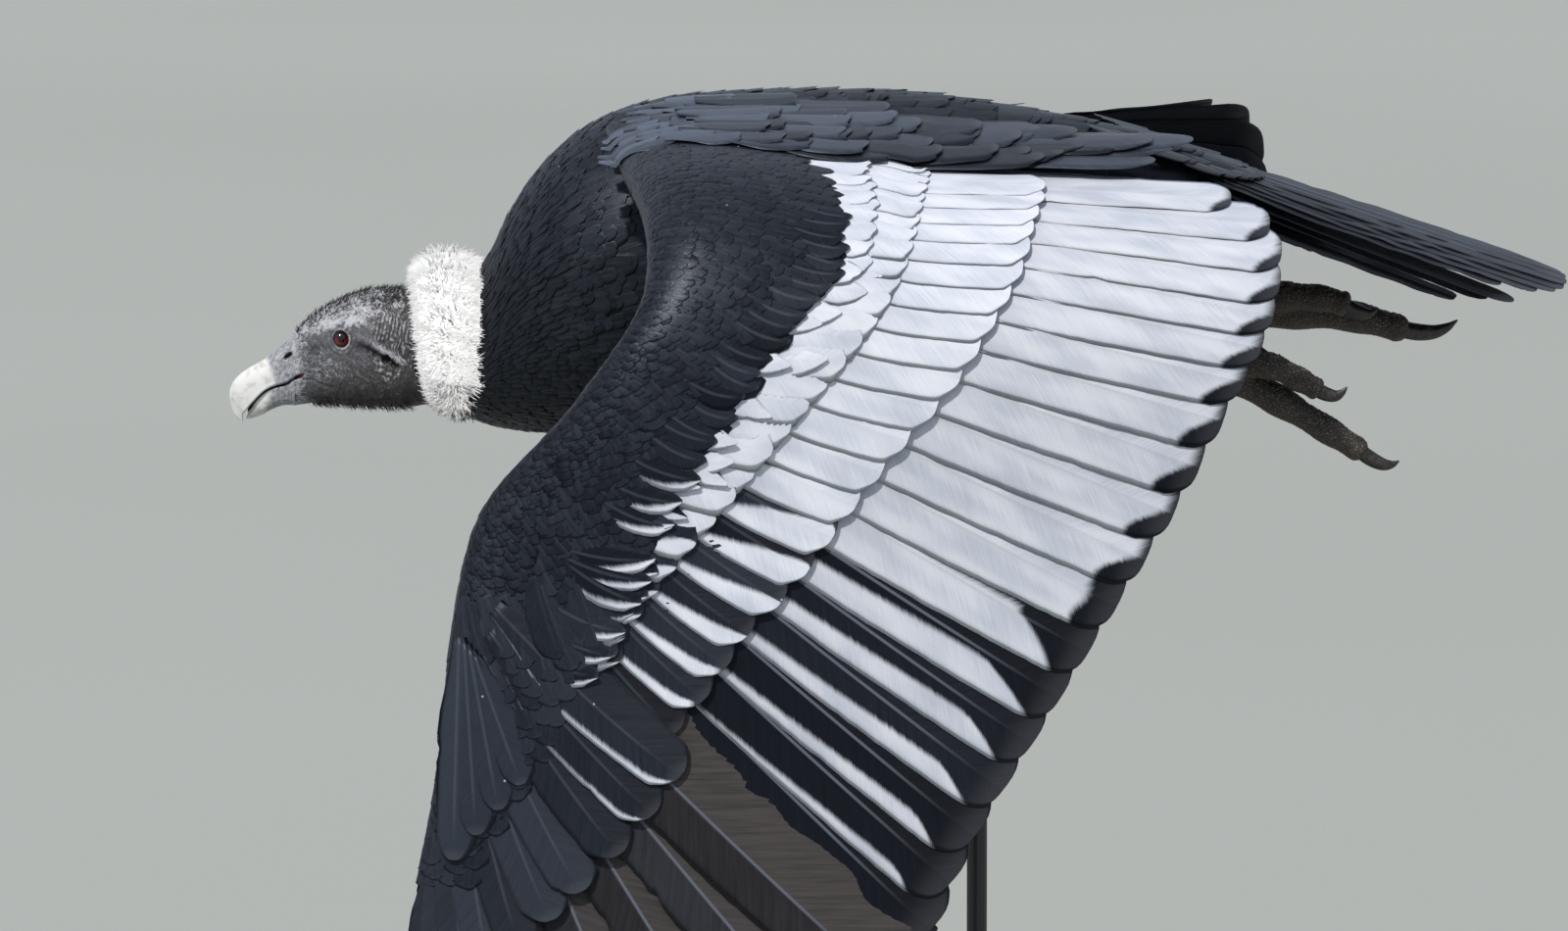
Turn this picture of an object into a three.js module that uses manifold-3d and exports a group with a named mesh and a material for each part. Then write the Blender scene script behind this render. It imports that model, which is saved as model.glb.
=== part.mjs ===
// An Andean condor, adult female, at the bottom of its wingbeat, held by a plain display stand.
// Millimetres, +Z up. The bird flies towards -X, its left wing is on the -Y side, and the origin is
// the centre of the stand's underside.
import * as THREE from "three";
import { mergeVertices } from "three/addons/utils/BufferGeometryUtils.js";
import Module from "manifold-3d";

const wasm = await Module();
wasm.setup();

// Driving dimensions; heights marked "over the body line" are measured from BODY_LEVEL
const GAP = 0.3; // clearance kept between neighbouring sub-parts
const BODY_LEVEL = 900; // the body line through head and neck, over the floor
const WING_ROOT_Y = 60; // half the distance between the two wing roots
const WING_ROOT_Z = 186; // over the body line
const ELBOW_SPAN = 215; // where the upper arm ends and the forearm begins, along the span
const WRIST_SPAN = 512; // where the hand begins
const HAND_END_SPAN = 735; // end of the fleshy hand
const TAIL_LENGTH = 312; // from the rump to the end of the middle feathers

// How each wing is held: degrees of droop at the root, of bend at the elbow and of lift towards the
// tip, millimetres of rise at the root, of backward sweep and of camber at the root
const WINGS = {
  left: { side: -1, rise: 0, droop: 14, bend: 66, lift: 20, sweep: 0, camber: 12 },
  right: { side: 1, rise: -6, droop: 6, bend: 78, lift: 20, sweep: 46, camber: -24 },
};

// Small mathematics
const DEG = Math.PI / 180;
const clamp01 = (v) => Math.min(1, Math.max(0, v));
const mix = (a, b, t) => a + (b - a) * t;
const smoothStep = (from, to, v) => {
  const t = clamp01((v - from) / (to - from));
  return t * t * (3 - 2 * t);
};

const numbers = (count) => Array.from({ length: count }, (_, k) => k);

// The value of column k at v in a table whose first column rises, on a smooth curve through its rows.
function tableAt(table, v, k = 1) {
  const last = table.length - 1;
  if (v <= table[0][0]) return table[0][k];
  if (v >= table[last][0]) return table[last][k];
  let i = 0;
  while (v > table[i + 1][0]) i += 1;
  const slope = (j) => {
    const a = table[Math.max(0, j - 1)];
    const b = table[Math.min(last, j + 1)];
    return (b[k] - a[k]) / (b[0] - a[0]);
  };
  const width = table[i + 1][0] - table[i][0];
  const t = (v - table[i][0]) / width;
  const rise = table[i + 1][k] - table[i][k];
  const m0 = slope(i) * width;
  const m1 = slope(i + 1) * width;
  return (
    table[i][k] +
    m0 * t +
    (3 * rise - 2 * m0 - m1) * t * t +
    (m0 + m1 - 2 * rise) * t * t * t
  );
}

// Solids, made by joining and cutting closed meshes

function solidOf(points, faces) {
  return new wasm.Manifold(
    new wasm.Mesh({
      numProp: 3,
      vertProperties: new Float32Array(points.flat()),
      triVerts: new Uint32Array(faces.flat()),
    }),
  );
}

function solidOfGeometry(geometry) {
  const bare = new THREE.BufferGeometry();
  bare.setAttribute("position", geometry.getAttribute("position"));
  if (geometry.index) bare.setIndex(geometry.index);
  const merged = mergeVertices(bare, 1e-3);
  return new wasm.Manifold(
    new wasm.Mesh({
      numProp: 3,
      vertProperties: new Float32Array(merged.attributes.position.array),
      triVerts: new Uint32Array(merged.index.array),
    }),
  );
}

// The same, with the faces turned round where they were listed inside out
function facingOut(points, faces) {
  const made = solidOf(points, faces);
  return made.volume() > 0 ? made : solidOf(points, faces.map(([a, b, c]) => [a, c, b]));
}

const joined = (solids) => solids.reduce((all, next) => all.add(next));

function largestOf(solid) {
  return solid
    .decompose()
    .reduce((best, next) => (next.volume() > best.volume() ? next : best));
}

// Pulls points that a cut left closer than WELD into one, and drops the faces that this closes up.
const WELD = 0.06;
function withoutSlivers(solid) {
  const mesh = solid.getMesh();
  const points = numbers(mesh.numVert).map((i) =>
    new THREE.Vector3().fromArray(mesh.vertProperties, i * mesh.numProp));
  const kept = numbers(mesh.numVert);
  const keptFor = (i) => (kept[i] === i ? i : keptFor(kept[i]));
  const corners = numbers(mesh.numTri).map((i) => Array.from(mesh.triVerts.subarray(i * 3, i * 3 + 3)));
  for (const [a, b, c] of corners) {
    for (const [from, to] of [[a, b], [b, c], [c, a]]) {
      if (points[from].distanceTo(points[to]) < WELD) kept[keptFor(to)] = keptFor(from);
    }
  }
  const faces = new Map();
  for (const corner of corners) {
    const face = corner.map(keptFor);
    if (new Set(face).size < 3) continue;
    const key = [...face].sort((a, b) => a - b).join();
    if (faces.has(key)) faces.delete(key);
    else faces.set(key, face);
  }
  return solidOf(points.map((p) => p.toArray()), [...faces.values()]);
}

// A closed skin over rings of points; every ring has the same number of points.
function loftedSolid(rings) {
  const sides = rings[0].length;
  const points = rings.flat();
  const faces = [];
  for (let r = 0; r + 1 < rings.length; r += 1) {
    for (let s = 0; s < sides; s += 1) {
      const a = r * sides + s;
      const b = r * sides + ((s + 1) % sides);
      faces.push([a, b, b + sides], [a, b + sides, a + sides]);
    }
  }
  for (const [ring, turn] of [[0, 1], [rings.length - 1, 0]]) {
    const centre = rings[ring]
      .reduce((sum, p) => sum.map((v, k) => v + p[k]), [0, 0, 0])
      .map((v) => v / sides);
    points.push(centre);
    for (let s = 0; s < sides; s += 1) {
      const a = ring * sides + s;
      const b = ring * sides + ((s + 1) % sides);
      faces.push(turn ? [b, a, points.length - 1] : [a, b, points.length - 1]);
    }
  }
  return facingOut(points, faces);
}

// A ring in the plane of up and side round a centre; squareness 2 is an ellipse, more is boxier.
function ringRound(centre, up, side, sides, squareness = 2) {
  const ring = [];
  for (let s = 0; s < sides; s += 1) {
    const angle = (s / sides) * 2 * Math.PI;
    const bend = (v) => Math.sign(v) * Math.abs(v) ** (2 / squareness);
    const u = bend(Math.cos(angle));
    const w = bend(Math.sin(angle));
    ring.push(centre.map((v, k) => v + up[k] * u + side[k] * w));
  }
  return ring;
}

// A tapered tube along a smooth path; stops are [x, y, z, half height, half width].
function tubeSolid(stops, sides, steps, grow = 0) {
  const path = new THREE.CatmullRomCurve3(
    stops.map(([x, y, z]) => new THREE.Vector3(x, y, z)),
  );
  const across = new THREE.Vector3();
  const over = new THREE.Vector3();
  const rings = [];
  for (let i = 0; i <= steps; i += 1) {
    const t = i / steps;
    const centre = path.getPoint(t);
    const along = path.getTangent(t);
    across.set(0, 1, 0).cross(along).normalize();
    over.copy(along).cross(across).normalize();
    if (i === 0) centre.addScaledVector(along, -grow);
    if (i === steps) centre.addScaledVector(along, grow);
    const at = t * (stops.length - 1);
    const k = Math.min(stops.length - 2, Math.floor(at));
    const high = mix(stops[k][3], stops[k + 1][3], at - k) + grow;
    const wide = mix(stops[k][4], stops[k + 1][4], at - k) + grow;
    rings.push(
      ringRound(
        centre.toArray(),
        across.clone().multiplyScalar(high).toArray(),
        over.clone().multiplyScalar(wide).toArray(),
        sides,
      ),
    );
  }
  return loftedSolid(rings);
}

// Upright sections along X; rows are [x, top, bottom, half width].
function uprightSolid(rows, from, to, steps, sides, squareness, grow = 0) {
  const rings = [];
  for (let i = 0; i <= steps; i += 1) {
    const x = mix(from, to, i / steps);
    const top = tableAt(rows, x, 1) + grow;
    const bottom = tableAt(rows, x, 2) - grow;
    const wide = tableAt(rows, x, 3) + grow;
    rings.push(
      ringRound([x, 0, (top + bottom) / 2], [0, 0, (top - bottom) / 2], [0, wide, 0], sides, squareness),
    );
  }
  return loftedSolid(rings);
}

// The wing is laid out flat, as x along the body and l along the span, then bent down like an umbrella.
const BEND_SPAN = [130, 400];
const LIFT_SPAN = [650, 1300];
const SWEEP_SPAN = [100, 450];
const PROFILE_STEP = 2;
const PROFILE_END = 1400;

// Leading edge of the wing: span, x
const LEADING_EDGE = [
  [0, -166], [120, -150], [285, -131], [375, -182], [452, -250],
  [520, -272], [645, -285], [735, -300], [900, -335], [1250, -380],
];
const CAMBER_CHORD = 450;
const CAMBER_OUTER = 50;
const CAMBER_SPAN = [100, 350];

// Returns the function that carries the flat layout (x, l, h over the middle surface) onto one bent wing.
function bentWing({ side, rise, droop, bend, lift, sweep, camber }) {
  const profile = [];
  let y = WING_ROOT_Y;
  let z = WING_ROOT_Z + rise;
  for (let l = 0; l <= PROFILE_END; l += PROFILE_STEP) {
    const middle = l + PROFILE_STEP / 2;
    const slope =
      (droop + bend * smoothStep(...BEND_SPAN, middle) - lift * smoothStep(...LIFT_SPAN, middle)) * DEG;
    profile.push([y, z, slope]);
    y += Math.cos(slope) * PROFILE_STEP;
    z -= Math.sin(slope) * PROFILE_STEP;
  }
  return ([x, l, h]) => {
    const at = Math.max(0, l) / PROFILE_STEP;
    const i = Math.min(profile.length - 2, Math.floor(at));
    const [lineY, lineZ, slope] = [0, 1, 2].map((k) => mix(profile[i][k], profile[i + 1][k], at - i));
    const inwards = Math.min(0, l);
    const chord = Math.max(0, x - tableAt(LEADING_EDGE, l)) / CAMBER_CHORD;
    const raised = h - mix(camber, CAMBER_OUTER, smoothStep(...CAMBER_SPAN, l)) * chord * chord;
    return [
      x + sweep * smoothStep(...SWEEP_SPAN, l),
      side * (lineY + Math.cos(slope) * inwards + Math.sin(slope) * raised),
      lineZ - Math.sin(slope) * inwards + Math.cos(slope) * raised,
    ];
  };
}

// Vane outlines: share of the length, share of the width
const FLIGHT_OUTLINE = [[0, 0.32], [0.42, 1], [0.94, 0.76], [1, 0]];
const FINGER_OUTLINE = [[0, 0.28], [0.36, 1], [0.58, 0.6], [0.96, 0.42], [1, 0]];
const COVERT_OUTLINE = [[0, 0.4], [0.45, 1], [0.9, 0.82], [1, 0]];

// One feather as a thin closed vane. root and tip are places in the layout, aside runs towards the
// wing's tip, and that side stands higher by the tilt, so that each vane lies over the next one out.
// A ridged vane is thickest along its shaft; a plain one is as thick as its edge all across.
function vaneSolid(feather, outline, place, grow = 0) {
  const { root, tip, width, height, tilt = 0.1, bow = 0, lead = 0.42 } = feather;
  const { edge = 0.8, shaft = 1.8, ridged = true } = feather;
  const length = Math.hypot(tip[0] - root[0], tip[1] - root[1]);
  const along = [(tip[0] - root[0]) / length, (tip[1] - root[1]) / length];
  const aside = [-along[1], along[0]];
  const points = [];
  const faces = [];
  const across = ridged ? 3 : 2;
  const lastStation = outline.length - 1;
  outline.forEach(([t, share], i) => {
    const isTip = i === lastStation;
    const bend = bow * 4 * t * (1 - t);
    const reach = (length + (isTip ? grow : 0)) * t;
    const rim = edge / 2 + grow;
    const spots = [
      [-width * share * (1 - lead) - grow, rim],
      [0, mix(shaft, edge, t ** 0.7) / 2 + grow],
      [width * share * lead + grow, rim],
    ];
    const kept = isTip ? [[0, rim]] : spots.filter((_, k) => ridged || k !== 1);
    for (const sign of [1, -1]) {
      for (const [off, thick] of kept) {
        points.push(place([
          root[0] + along[0] * reach + aside[0] * (bend + off),
          root[1] + along[1] * reach + aside[1] * (bend + off),
          height + tilt * off + sign * thick,
        ]));
      }
    }
  });
  // Each station but the last holds its upper points, then its lower ones.
  const step = across * 2;
  for (let i = 0; i + 1 < lastStation; i += 1) {
    const a = i * step;
    const b = a + step;
    for (let k = 0; k + 1 < across; k += 1) {
      const low = k + across;
      faces.push([a + k, b + k, b + k + 1], [a + k, b + k + 1, a + k + 1]);
      faces.push([a + low, b + low + 1, b + low], [a + low, a + low + 1, b + low + 1]);
    }
    const far = across - 1;
    faces.push([a, a + across, b + across], [a, b + across, b]);
    faces.push([a + far, b + far, b + far + across], [a + far, b + far + across, a + far + across]);
  }
  const last = (lastStation - 1) * step;
  const top = last + step;
  for (let k = 0; k + 1 < across; k += 1) {
    faces.push([last + k, top, last + k + 1], [last + across + k, last + across + k + 1, top + 1]);
    faces.push([k, k + 1, k + 1 + across], [k, k + 1 + across, k + across]);
  }
  const far = last + across - 1;
  faces.push([last, last + across, top + 1], [last, top + 1, top]);
  faces.push([far, top, top + 1], [far, top + 1, far + across]);
  return facingOut(points, faces);
}

// Fleshy part of the wing

// Rear end of the flesh: span, x
const FLESH_REAR = [
  [0, 70], [98, 40], [200, 34], [283, 24], [347, -18], [418, -62],
  [488, -118], [555, -168], [645, -212], [735, -252],
];
// Height of the flesh over and under the middle surface: span, over, under
const FLESH_DEPTH = [
  [0, 12, 56], [60, 17, 46], [110, 22, 38], [215, 29, 26], [330, 26, 20],
  [480, 22, 18], [620, 16, 12], [735, 8, 6],
];
const FLESH_CHORD = [0, 0.03, 0.11, 0.28, 0.5, 0.74, 1];
const THICKEST = 0.28; // share of the chord
const THIN_END = 0.5; // share of the depth left at the rear

function fleshSolid(from, to, steps, place, grow = 0) {
  const swell = (c) => {
    if (c < THICKEST) return Math.sqrt(1 - (1 - c / THICKEST) ** 2);
    return mix(THIN_END, 1, Math.cos(((c - THICKEST) / (1 - THICKEST)) * (Math.PI / 2)) ** 1.2);
  };
  const rings = [];
  for (let i = 0; i <= steps; i += 1) {
    const l = mix(from, to, i / steps);
    const front = tableAt(LEADING_EDGE, l) - grow;
    const rear = tableAt(FLESH_REAR, l) + grow;
    const spot = (c, depth) => [mix(front, rear, c), l, depth * swell(c) + Math.sign(depth) * grow];
    const over = FLESH_CHORD.slice(1).map((c) => spot(c, tableAt(FLESH_DEPTH, l, 1)));
    const under = FLESH_CHORD.slice(1).map((c) => spot(c, -tableAt(FLESH_DEPTH, l, 2)));
    rings.push([[front, l, 0], ...over, ...under.reverse()].map(place));
  }
  return loftedSolid(rings);
}

// Feathers of the wing, all in the flat layout

// Trailing edge, through the tips of the flight feathers: span, x
const TRAILING_EDGE = [
  [110, 306], [134, 326], [177, 354], [234, 356], [288, 348], [331, 335], [387, 311],
  [443, 282], [496, 250], [554, 214], [632, 166], [719, 112], [776, 86], [835, 50],
];
// Line on which the secondaries are rooted: span, x
const ROOT_LINE = [
  [100, -14], [200, -18], [262, -24], [305, -52], [350, -92], [410, -142],
  [460, -190], [500, -222], [530, -240],
];
const REMEX_LEVEL = -5.5;
const COVERT_LEVEL = 2.8;
const MEDIAN_LEVEL = 10.4;

// Roots make room for the cut at the elbow, those near it the most.
const CUT_CLEARANCE = 12;
const CUT_SPREAD = 30;
const clearOfElbow = (l) =>
  l + Math.sign(l - ELBOW_SPAN) * CUT_CLEARANCE * Math.exp(-Math.abs(l - ELBOW_SPAN) / CUT_SPREAD);

// Secondary i, counted from the body outwards
const SECONDARY_COUNT = 20;
function secondary(i) {
  const share = i / (SECONDARY_COUNT - 1);
  const tipSpan = mix(128, 808, share ** 0.97);
  const rootSpan = clearOfElbow(mix(112, 500, share ** 0.84));
  return {
    root: [tableAt(ROOT_LINE, rootSpan), rootSpan],
    tip: [tableAt(TRAILING_EDGE, tipSpan), tipSpan],
    width: mix(76, 74, share),
    height: REMEX_LEVEL,
  };
}

// Primary i of ten, counted from the wrist outwards: number, fan direction in degrees, length
const PRIMARY_COUNT = 10;
const PRIMARY_FAN = [
  [0, 44, 428], [1, 50, 452], [2, 57.5, 486], [3, 66.5, 520], [4, 73, 552],
  [5, 79.5, 588], [6, 86, 612], [7, 91.5, 618], [8, 96.5, 590], [9, 101, 516],
];
const FIRST_PRIMARY_ROOT = [-240, 530];
const LAST_PRIMARY_ROOT = [-276, 702];
const FIRST_FINGER = 3; // from here out the primaries narrow to fingers
function primary(i) {
  const share = i / (PRIMARY_COUNT - 1);
  const root = [0, 1].map((k) => mix(FIRST_PRIMARY_ROOT[k], LAST_PRIMARY_ROOT[k], share));
  const turn = tableAt(PRIMARY_FAN, i, 1) * DEG;
  const length = tableAt(PRIMARY_FAN, i, 2);
  return {
    root,
    tip: [root[0] + Math.cos(turn) * length, root[1] + Math.sin(turn) * length],
    width: mix(80, 58, share),
    height: REMEX_LEVEL - 1.5,
    bow: 6,
    lead: mix(0.42, 0.34, share),
    tilt: mix(0.11, 0.16, share),
    shaft: 2.4,
  };
}

// Tips of the greater coverts: span, x
const GREATER_TIPS = [
  [150, 178], [216, 166], [245, 162], [292, 144], [343, 118], [373, 98], [403, 72],
  [451, 34], [518, -16], [559, -56], [592, -76], [640, -116],
];
const GREATER_COUNT = 14;
function greaterCovert(i) {
  const share = i / (GREATER_COUNT - 1);
  const tipSpan = mix(152, 636, share);
  const rootSpan = clearOfElbow(mix(140, 494, share ** 0.86));
  return {
    root: [tableAt(ROOT_LINE, rootSpan) - 2, rootSpan],
    tip: [tableAt(GREATER_TIPS, tipSpan), tipSpan],
    width: mix(70, 60, share),
    height: COVERT_LEVEL,
    ridged: false,
  };
}

// Tips of the median coverts: span, x
const MEDIAN_TIPS = [
  [160, 86], [245, 74], [292, 58], [336, 30], [382, -6], [440, -52], [512, -112], [560, -146],
];
const MEDIAN_COUNT = 11;
function medianCovert(i) {
  const share = i / (MEDIAN_COUNT - 1);
  const tipSpan = mix(165, 556, share);
  const rootSpan = clearOfElbow(mix(158, 494, share ** 0.9));
  return {
    root: [tableAt(ROOT_LINE, rootSpan) - 8, rootSpan],
    tip: [tableAt(MEDIAN_TIPS, tipSpan), tipSpan],
    width: mix(64, 54, share),
    height: MEDIAN_LEVEL,
    ridged: false,
  };
}

// Primary coverts lie over the roots of the primaries.
const PRIMARY_COVERT_COUNT = 6;
function primaryCovert(i) {
  const share = i / (PRIMARY_COVERT_COUNT - 1);
  const under = primary(mix(1, 8, share));
  return {
    root: under.root,
    tip: [0, 1].map((k) => mix(under.root[k], under.tip[k], mix(0.42, 0.3, share))),
    width: mix(54, 40, share),
    height: COVERT_LEVEL + 1.4,
    ridged: false,
  };
}

// The alula: short stiff feathers at the wrist
const ALULA_COUNT = 2;
const alulaFeather = (i) => ({
  root: [-262 + 6 * i, 566 + 8 * i],
  tip: [-266 + 22 * i, 716 - 26 * i],
  width: 34,
  height: 9.5,
  ridged: false,
});

// Scapulars and tertials lie over the wing root in three tiers: x of the roots, x of the first and
// last tip, their spans, level over the middle surface
const SHOULDER_TIERS = [
  { rootX: 6, tipX: [262, 312], tips: [8, 96], roots: [16, 108], level: 3.5 },
  { rootX: -14, tipX: [150, 190], tips: [0, 92], roots: [8, 104], level: 10.5 },
  { rootX: -30, tipX: [50, 92], tips: [0, 100], roots: [4, 106], level: 17 },
];
const SHOULDER_COUNT = 4;
function shoulderFeather(tier, i) {
  const share = i / (SHOULDER_COUNT - 1);
  return {
    root: [tier.rootX, mix(...tier.roots, share)],
    tip: [mix(...tier.tipX, share), mix(...tier.tips, share)],
    width: 54,
    height: tier.level,
    tilt: 0.07,
    ridged: false,
  };
}

// Every feather of a wing with its outline
const WING_FEATHERS = [
  ...numbers(SECONDARY_COUNT).map((i) => [secondary(i), FLIGHT_OUTLINE]),
  ...numbers(PRIMARY_COUNT).map((i) => [primary(i), i < FIRST_FINGER ? FLIGHT_OUTLINE : FINGER_OUTLINE]),
  ...numbers(GREATER_COUNT).map((i) => [greaterCovert(i), COVERT_OUTLINE]),
  ...numbers(MEDIAN_COUNT).map((i) => [medianCovert(i), COVERT_OUTLINE]),
  ...numbers(PRIMARY_COVERT_COUNT).map((i) => [primaryCovert(i), COVERT_OUTLINE]),
  ...numbers(ALULA_COUNT).map((i) => [alulaFeather(i), COVERT_OUTLINE]),
  ...SHOULDER_TIERS.flatMap((tier) =>
    numbers(SHOULDER_COUNT).map((i) => [shoulderFeather(tier, i), COVERT_OUTLINE])),
];

// The lengths of a wing: name, span from, span to, rings of its flesh
const WING_LENGTHS = [
  ["arm", -8, ELBOW_SPAN, 6],
  ["forearm", ELBOW_SPAN, WRIST_SPAN, 8],
  ["hand", WRIST_SPAN, HAND_END_SPAN, 5],
];
const NEIGHBOUR_REACH = 120; // how far over a cut the feathers of the length before it may lie
const FLESH_REACH = 60; // how far past its ends the flesh is carried on as a cutter

// The three lengths of one wing; each is cut clear of the feathers and flesh of the one before it.
function wingSolids(place, body) {
  const made = [];
  WING_LENGTHS.forEach(([name, from, to, steps], n) => {
    const first = n === 0 ? from : from + GAP / 2;
    const last = n === WING_LENGTHS.length - 1 ? to : to - GAP / 2;
    const own = WING_FEATHERS.filter(([feather]) => feather.root[1] >= from && feather.root[1] < to);
    let solid = joined([
      fleshSolid(first, last, steps, place),
      ...own.map(([feather, outline]) => vaneSolid(feather, outline, place)),
    ]);
    if (n === 0) solid = solid.subtract(body);
    WING_FEATHERS.forEach(([feather, outline]) => {
      const before = from - feather.root[1];
      if (before <= 0 || before > NEIGHBOUR_REACH || n === 0) return;
      solid = solid.subtract(vaneSolid(feather, outline, place, GAP));
    });
    if (n > 0) solid = solid.subtract(fleshSolid(from - FLESH_REACH, from + GAP / 2, 3, place, GAP));
    if (n < WING_LENGTHS.length - 1) {
      solid = solid.subtract(fleshSolid(to - GAP / 2, to + FLESH_REACH, 3, place, GAP));
    }
    made.push([name, largestOf(solid)]);
  });
  return made;
}

// Torso, x, then top and bottom over the body line, half width
const TORSO_ROWS = [
  [-256, 80, -58, 62], [-240, 112, -61, 72], [-217, 146, -63.5, 86], [-186, 175, -65, 100],
  [-147, 194, -65, 110], [-101, 204, -63, 114], [-23, 208, -55, 113], [54, 208, -41, 105],
  [132, 200, -20, 92], [209, 186, 7, 76], [271, 171, 35, 60], [318, 156, 60, 46],
];
const TORSO_FROM = -256;
const TORSO_TO = 318;
const torsoSolid = (grow = 0) =>
  uprightSolid(TORSO_ROWS, TORSO_FROM - grow, TORSO_TO + grow, 13, 20, 2.15, grow);

// Neck, from the head to the torso
const NECK_FROM = -325;
const NECK_ROWS = [[-325, 50, -43, 33], [-300, 49, -40, 38], [-275, 58, -51, 50], [-256, 78, -56.5, 61]];
const neckSolid = (grow = 0) =>
  uprightSolid(NECK_ROWS, NECK_FROM + GAP, TORSO_FROM - GAP, 5, 20, 2.1, grow);

// Head
const HEAD_FRONT = -409;
const HEAD_ROWS = [
  [-409, 14, -42, 17], [-403, 22, -41, 20], [-395, 29, -40, 23], [-384, 36, -41, 27],
  [-372, 42, -41.5, 30], [-360, 47, -42, 32], [-345, 50, -43, 33.5], [-325, 50, -43, 33.5],
];
const EYE = { x: -371.6, y: 22, z: 13, radius: 9 };
const LID = { radius: 7, thick: 1.5, out: 6.2 };
const EAR = { x: -341, y: 34.5, z: -1, lean: 0.45 };
const BROW = { x: -376, y: 25, z: 23 };
const GAPE = { x: -409, z: -21.4, deep: 12, high: 3, drop: 0.5 };

function ballSolid(centre, radii, turn, wide = 8, high = 5) {
  const ball = new THREE.SphereGeometry(1, wide, high);
  ball.scale(...radii);
  ball.rotateY(turn);
  ball.translate(...centre);
  return solidOfGeometry(ball);
}

const eyeSolid = (side, grow = 0) =>
  ballSolid([EYE.x, side * EYE.y, EYE.z], Array(3).fill(EYE.radius + grow), 0, 12, 8);

function lidSolid(side) {
  const ring = new THREE.TorusGeometry(LID.radius, LID.thick, 4, 12);
  ring.rotateX(Math.PI / 2);
  ring.scale(1.1, 1, 0.95);
  ring.translate(EYE.x, side * (EYE.y + LID.out), EYE.z);
  return solidOfGeometry(ring);
}

// The corner of the mouth is a wedge cut into the front of the head.
function gapeSolid() {
  const wedge = new THREE.CylinderGeometry(GAPE.high, GAPE.high, 60, 3);
  wedge.rotateY(Math.PI / 2);
  wedge.scale(GAPE.deep / GAPE.high, 1, 0.6);
  wedge.rotateX(Math.PI / 2);
  wedge.rotateY(GAPE.drop);
  wedge.translate(GAPE.x, 0, GAPE.z);
  return solidOfGeometry(wedge);
}

function headSolid() {
  let head = uprightSolid(HEAD_ROWS, HEAD_FRONT, -325, 8, 18, 2.2);
  for (const side of [-1, 1]) {
    head = head
      .add(lidSolid(side))
      .add(ballSolid([BROW.x, side * BROW.y, BROW.z], [11, 4, 3], -0.15))
      .add(ballSolid([EAR.x + 2, side * (EAR.y - 3.5), EAR.z + 5], [13, 4.5, 3], EAR.lean))
      .subtract(ballSolid([EAR.x, side * EAR.y, EAR.z], [8.5, 6, 3.6], EAR.lean))
      .subtract(eyeSolid(side, GAP));
  }
  return largestOf(head.subtract(gapeSolid()));
}

// Bill: rows of upper line x, z, lower line x, z, half width
const BILL_FROM = HEAD_FRONT - GAP;
const UPPER_BILL_ROWS = [
  [BILL_FROM, 14, BILL_FROM, -18.5, 16], [-418.5, 6.5, -416, -23, 14], [-430, -3, -425.5, -25.5, 13],
  [-440, -9, -433, -29.4, 12.4], [-449.5, -14.5, -439.5, -35.5, 11.4], [-457, -21.5, -445, -41.7, 9.6],
  [-461, -29.2, -448.7, -46.4, 7], [-461, -37.8, -450.3, -48, 4.6], [-458, -48.7, -451, -51, 2.6],
  [-451.6, -57.3, -451, -57.1, 0.6],
];
const LOWER_BILL_ROWS = [
  [BILL_FROM, -20.2, BILL_FROM, -42, 15], [-416, -24.7, -418.5, -42, 13], [-425.5, -27.4, -428.5, -45.5, 11.4],
  [-433, -31.3, -436.3, -49.8, 9.8], [-439.5, -37.6, -443.2, -52.1, 7.8], [-443.6, -43.2, -447, -52.9, 5],
  [-446.6, -48, -448.4, -52.4, 2],
];
const NOSTRIL = { x: -417, z: -5, high: 2.1, long: 4.2, lean: 0.5 };

const billSolid = (rows, sides) =>
  loftedSolid(
    rows.map(([topX, topZ, lowX, lowZ, wide]) => {
      const centre = [(topX + lowX) / 2, 0, (topZ + lowZ) / 2];
      return ringRound(centre, [(topX - lowX) / 2, 0, (topZ - lowZ) / 2], [0, wide, 0], sides, 2.3);
    }),
  );

// The nostrils open into each other, right through the bill.
function upperBillSolid() {
  const slot = new THREE.CylinderGeometry(NOSTRIL.high, NOSTRIL.high, 40, 8);
  slot.scale(NOSTRIL.long / NOSTRIL.high, 1, 1);
  slot.rotateY(NOSTRIL.lean);
  slot.translate(NOSTRIL.x, 0, NOSTRIL.z);
  return largestOf(billSolid(UPPER_BILL_ROWS, 14).subtract(solidOfGeometry(slot)));
}

// The ruff of white down: a core round the neck with rows of soft flat locks, which leave the core
// and lie back or forward over it
const RUFF = { x: -290, z: 14, high: 67, wide: 64, halfDepth: 27, core: 0.78, round: 10 };
const LOCK_ROWS = [-78, -28, 26]; // degrees from straight out towards the back, where each row is rooted
const LOCK = { lean: 44, wide: 48, thick: 9 };
function ruffPoint(round, section, share) {
  const bulge = Math.cos(section * DEG);
  const lobes = 1 + 0.03 * Math.sin(5 * round) + 0.02 * Math.cos(9 * round);
  const reach = mix(0.8, 1, bulge) * share * lobes;
  return new THREE.Vector3(
    RUFF.x + Math.sin(section * DEG) * RUFF.halfDepth * share - 4 * Math.cos(round),
    Math.sin(round) * RUFF.wide * reach,
    RUFF.z + Math.cos(round) * RUFF.high * reach,
  );
}

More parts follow.
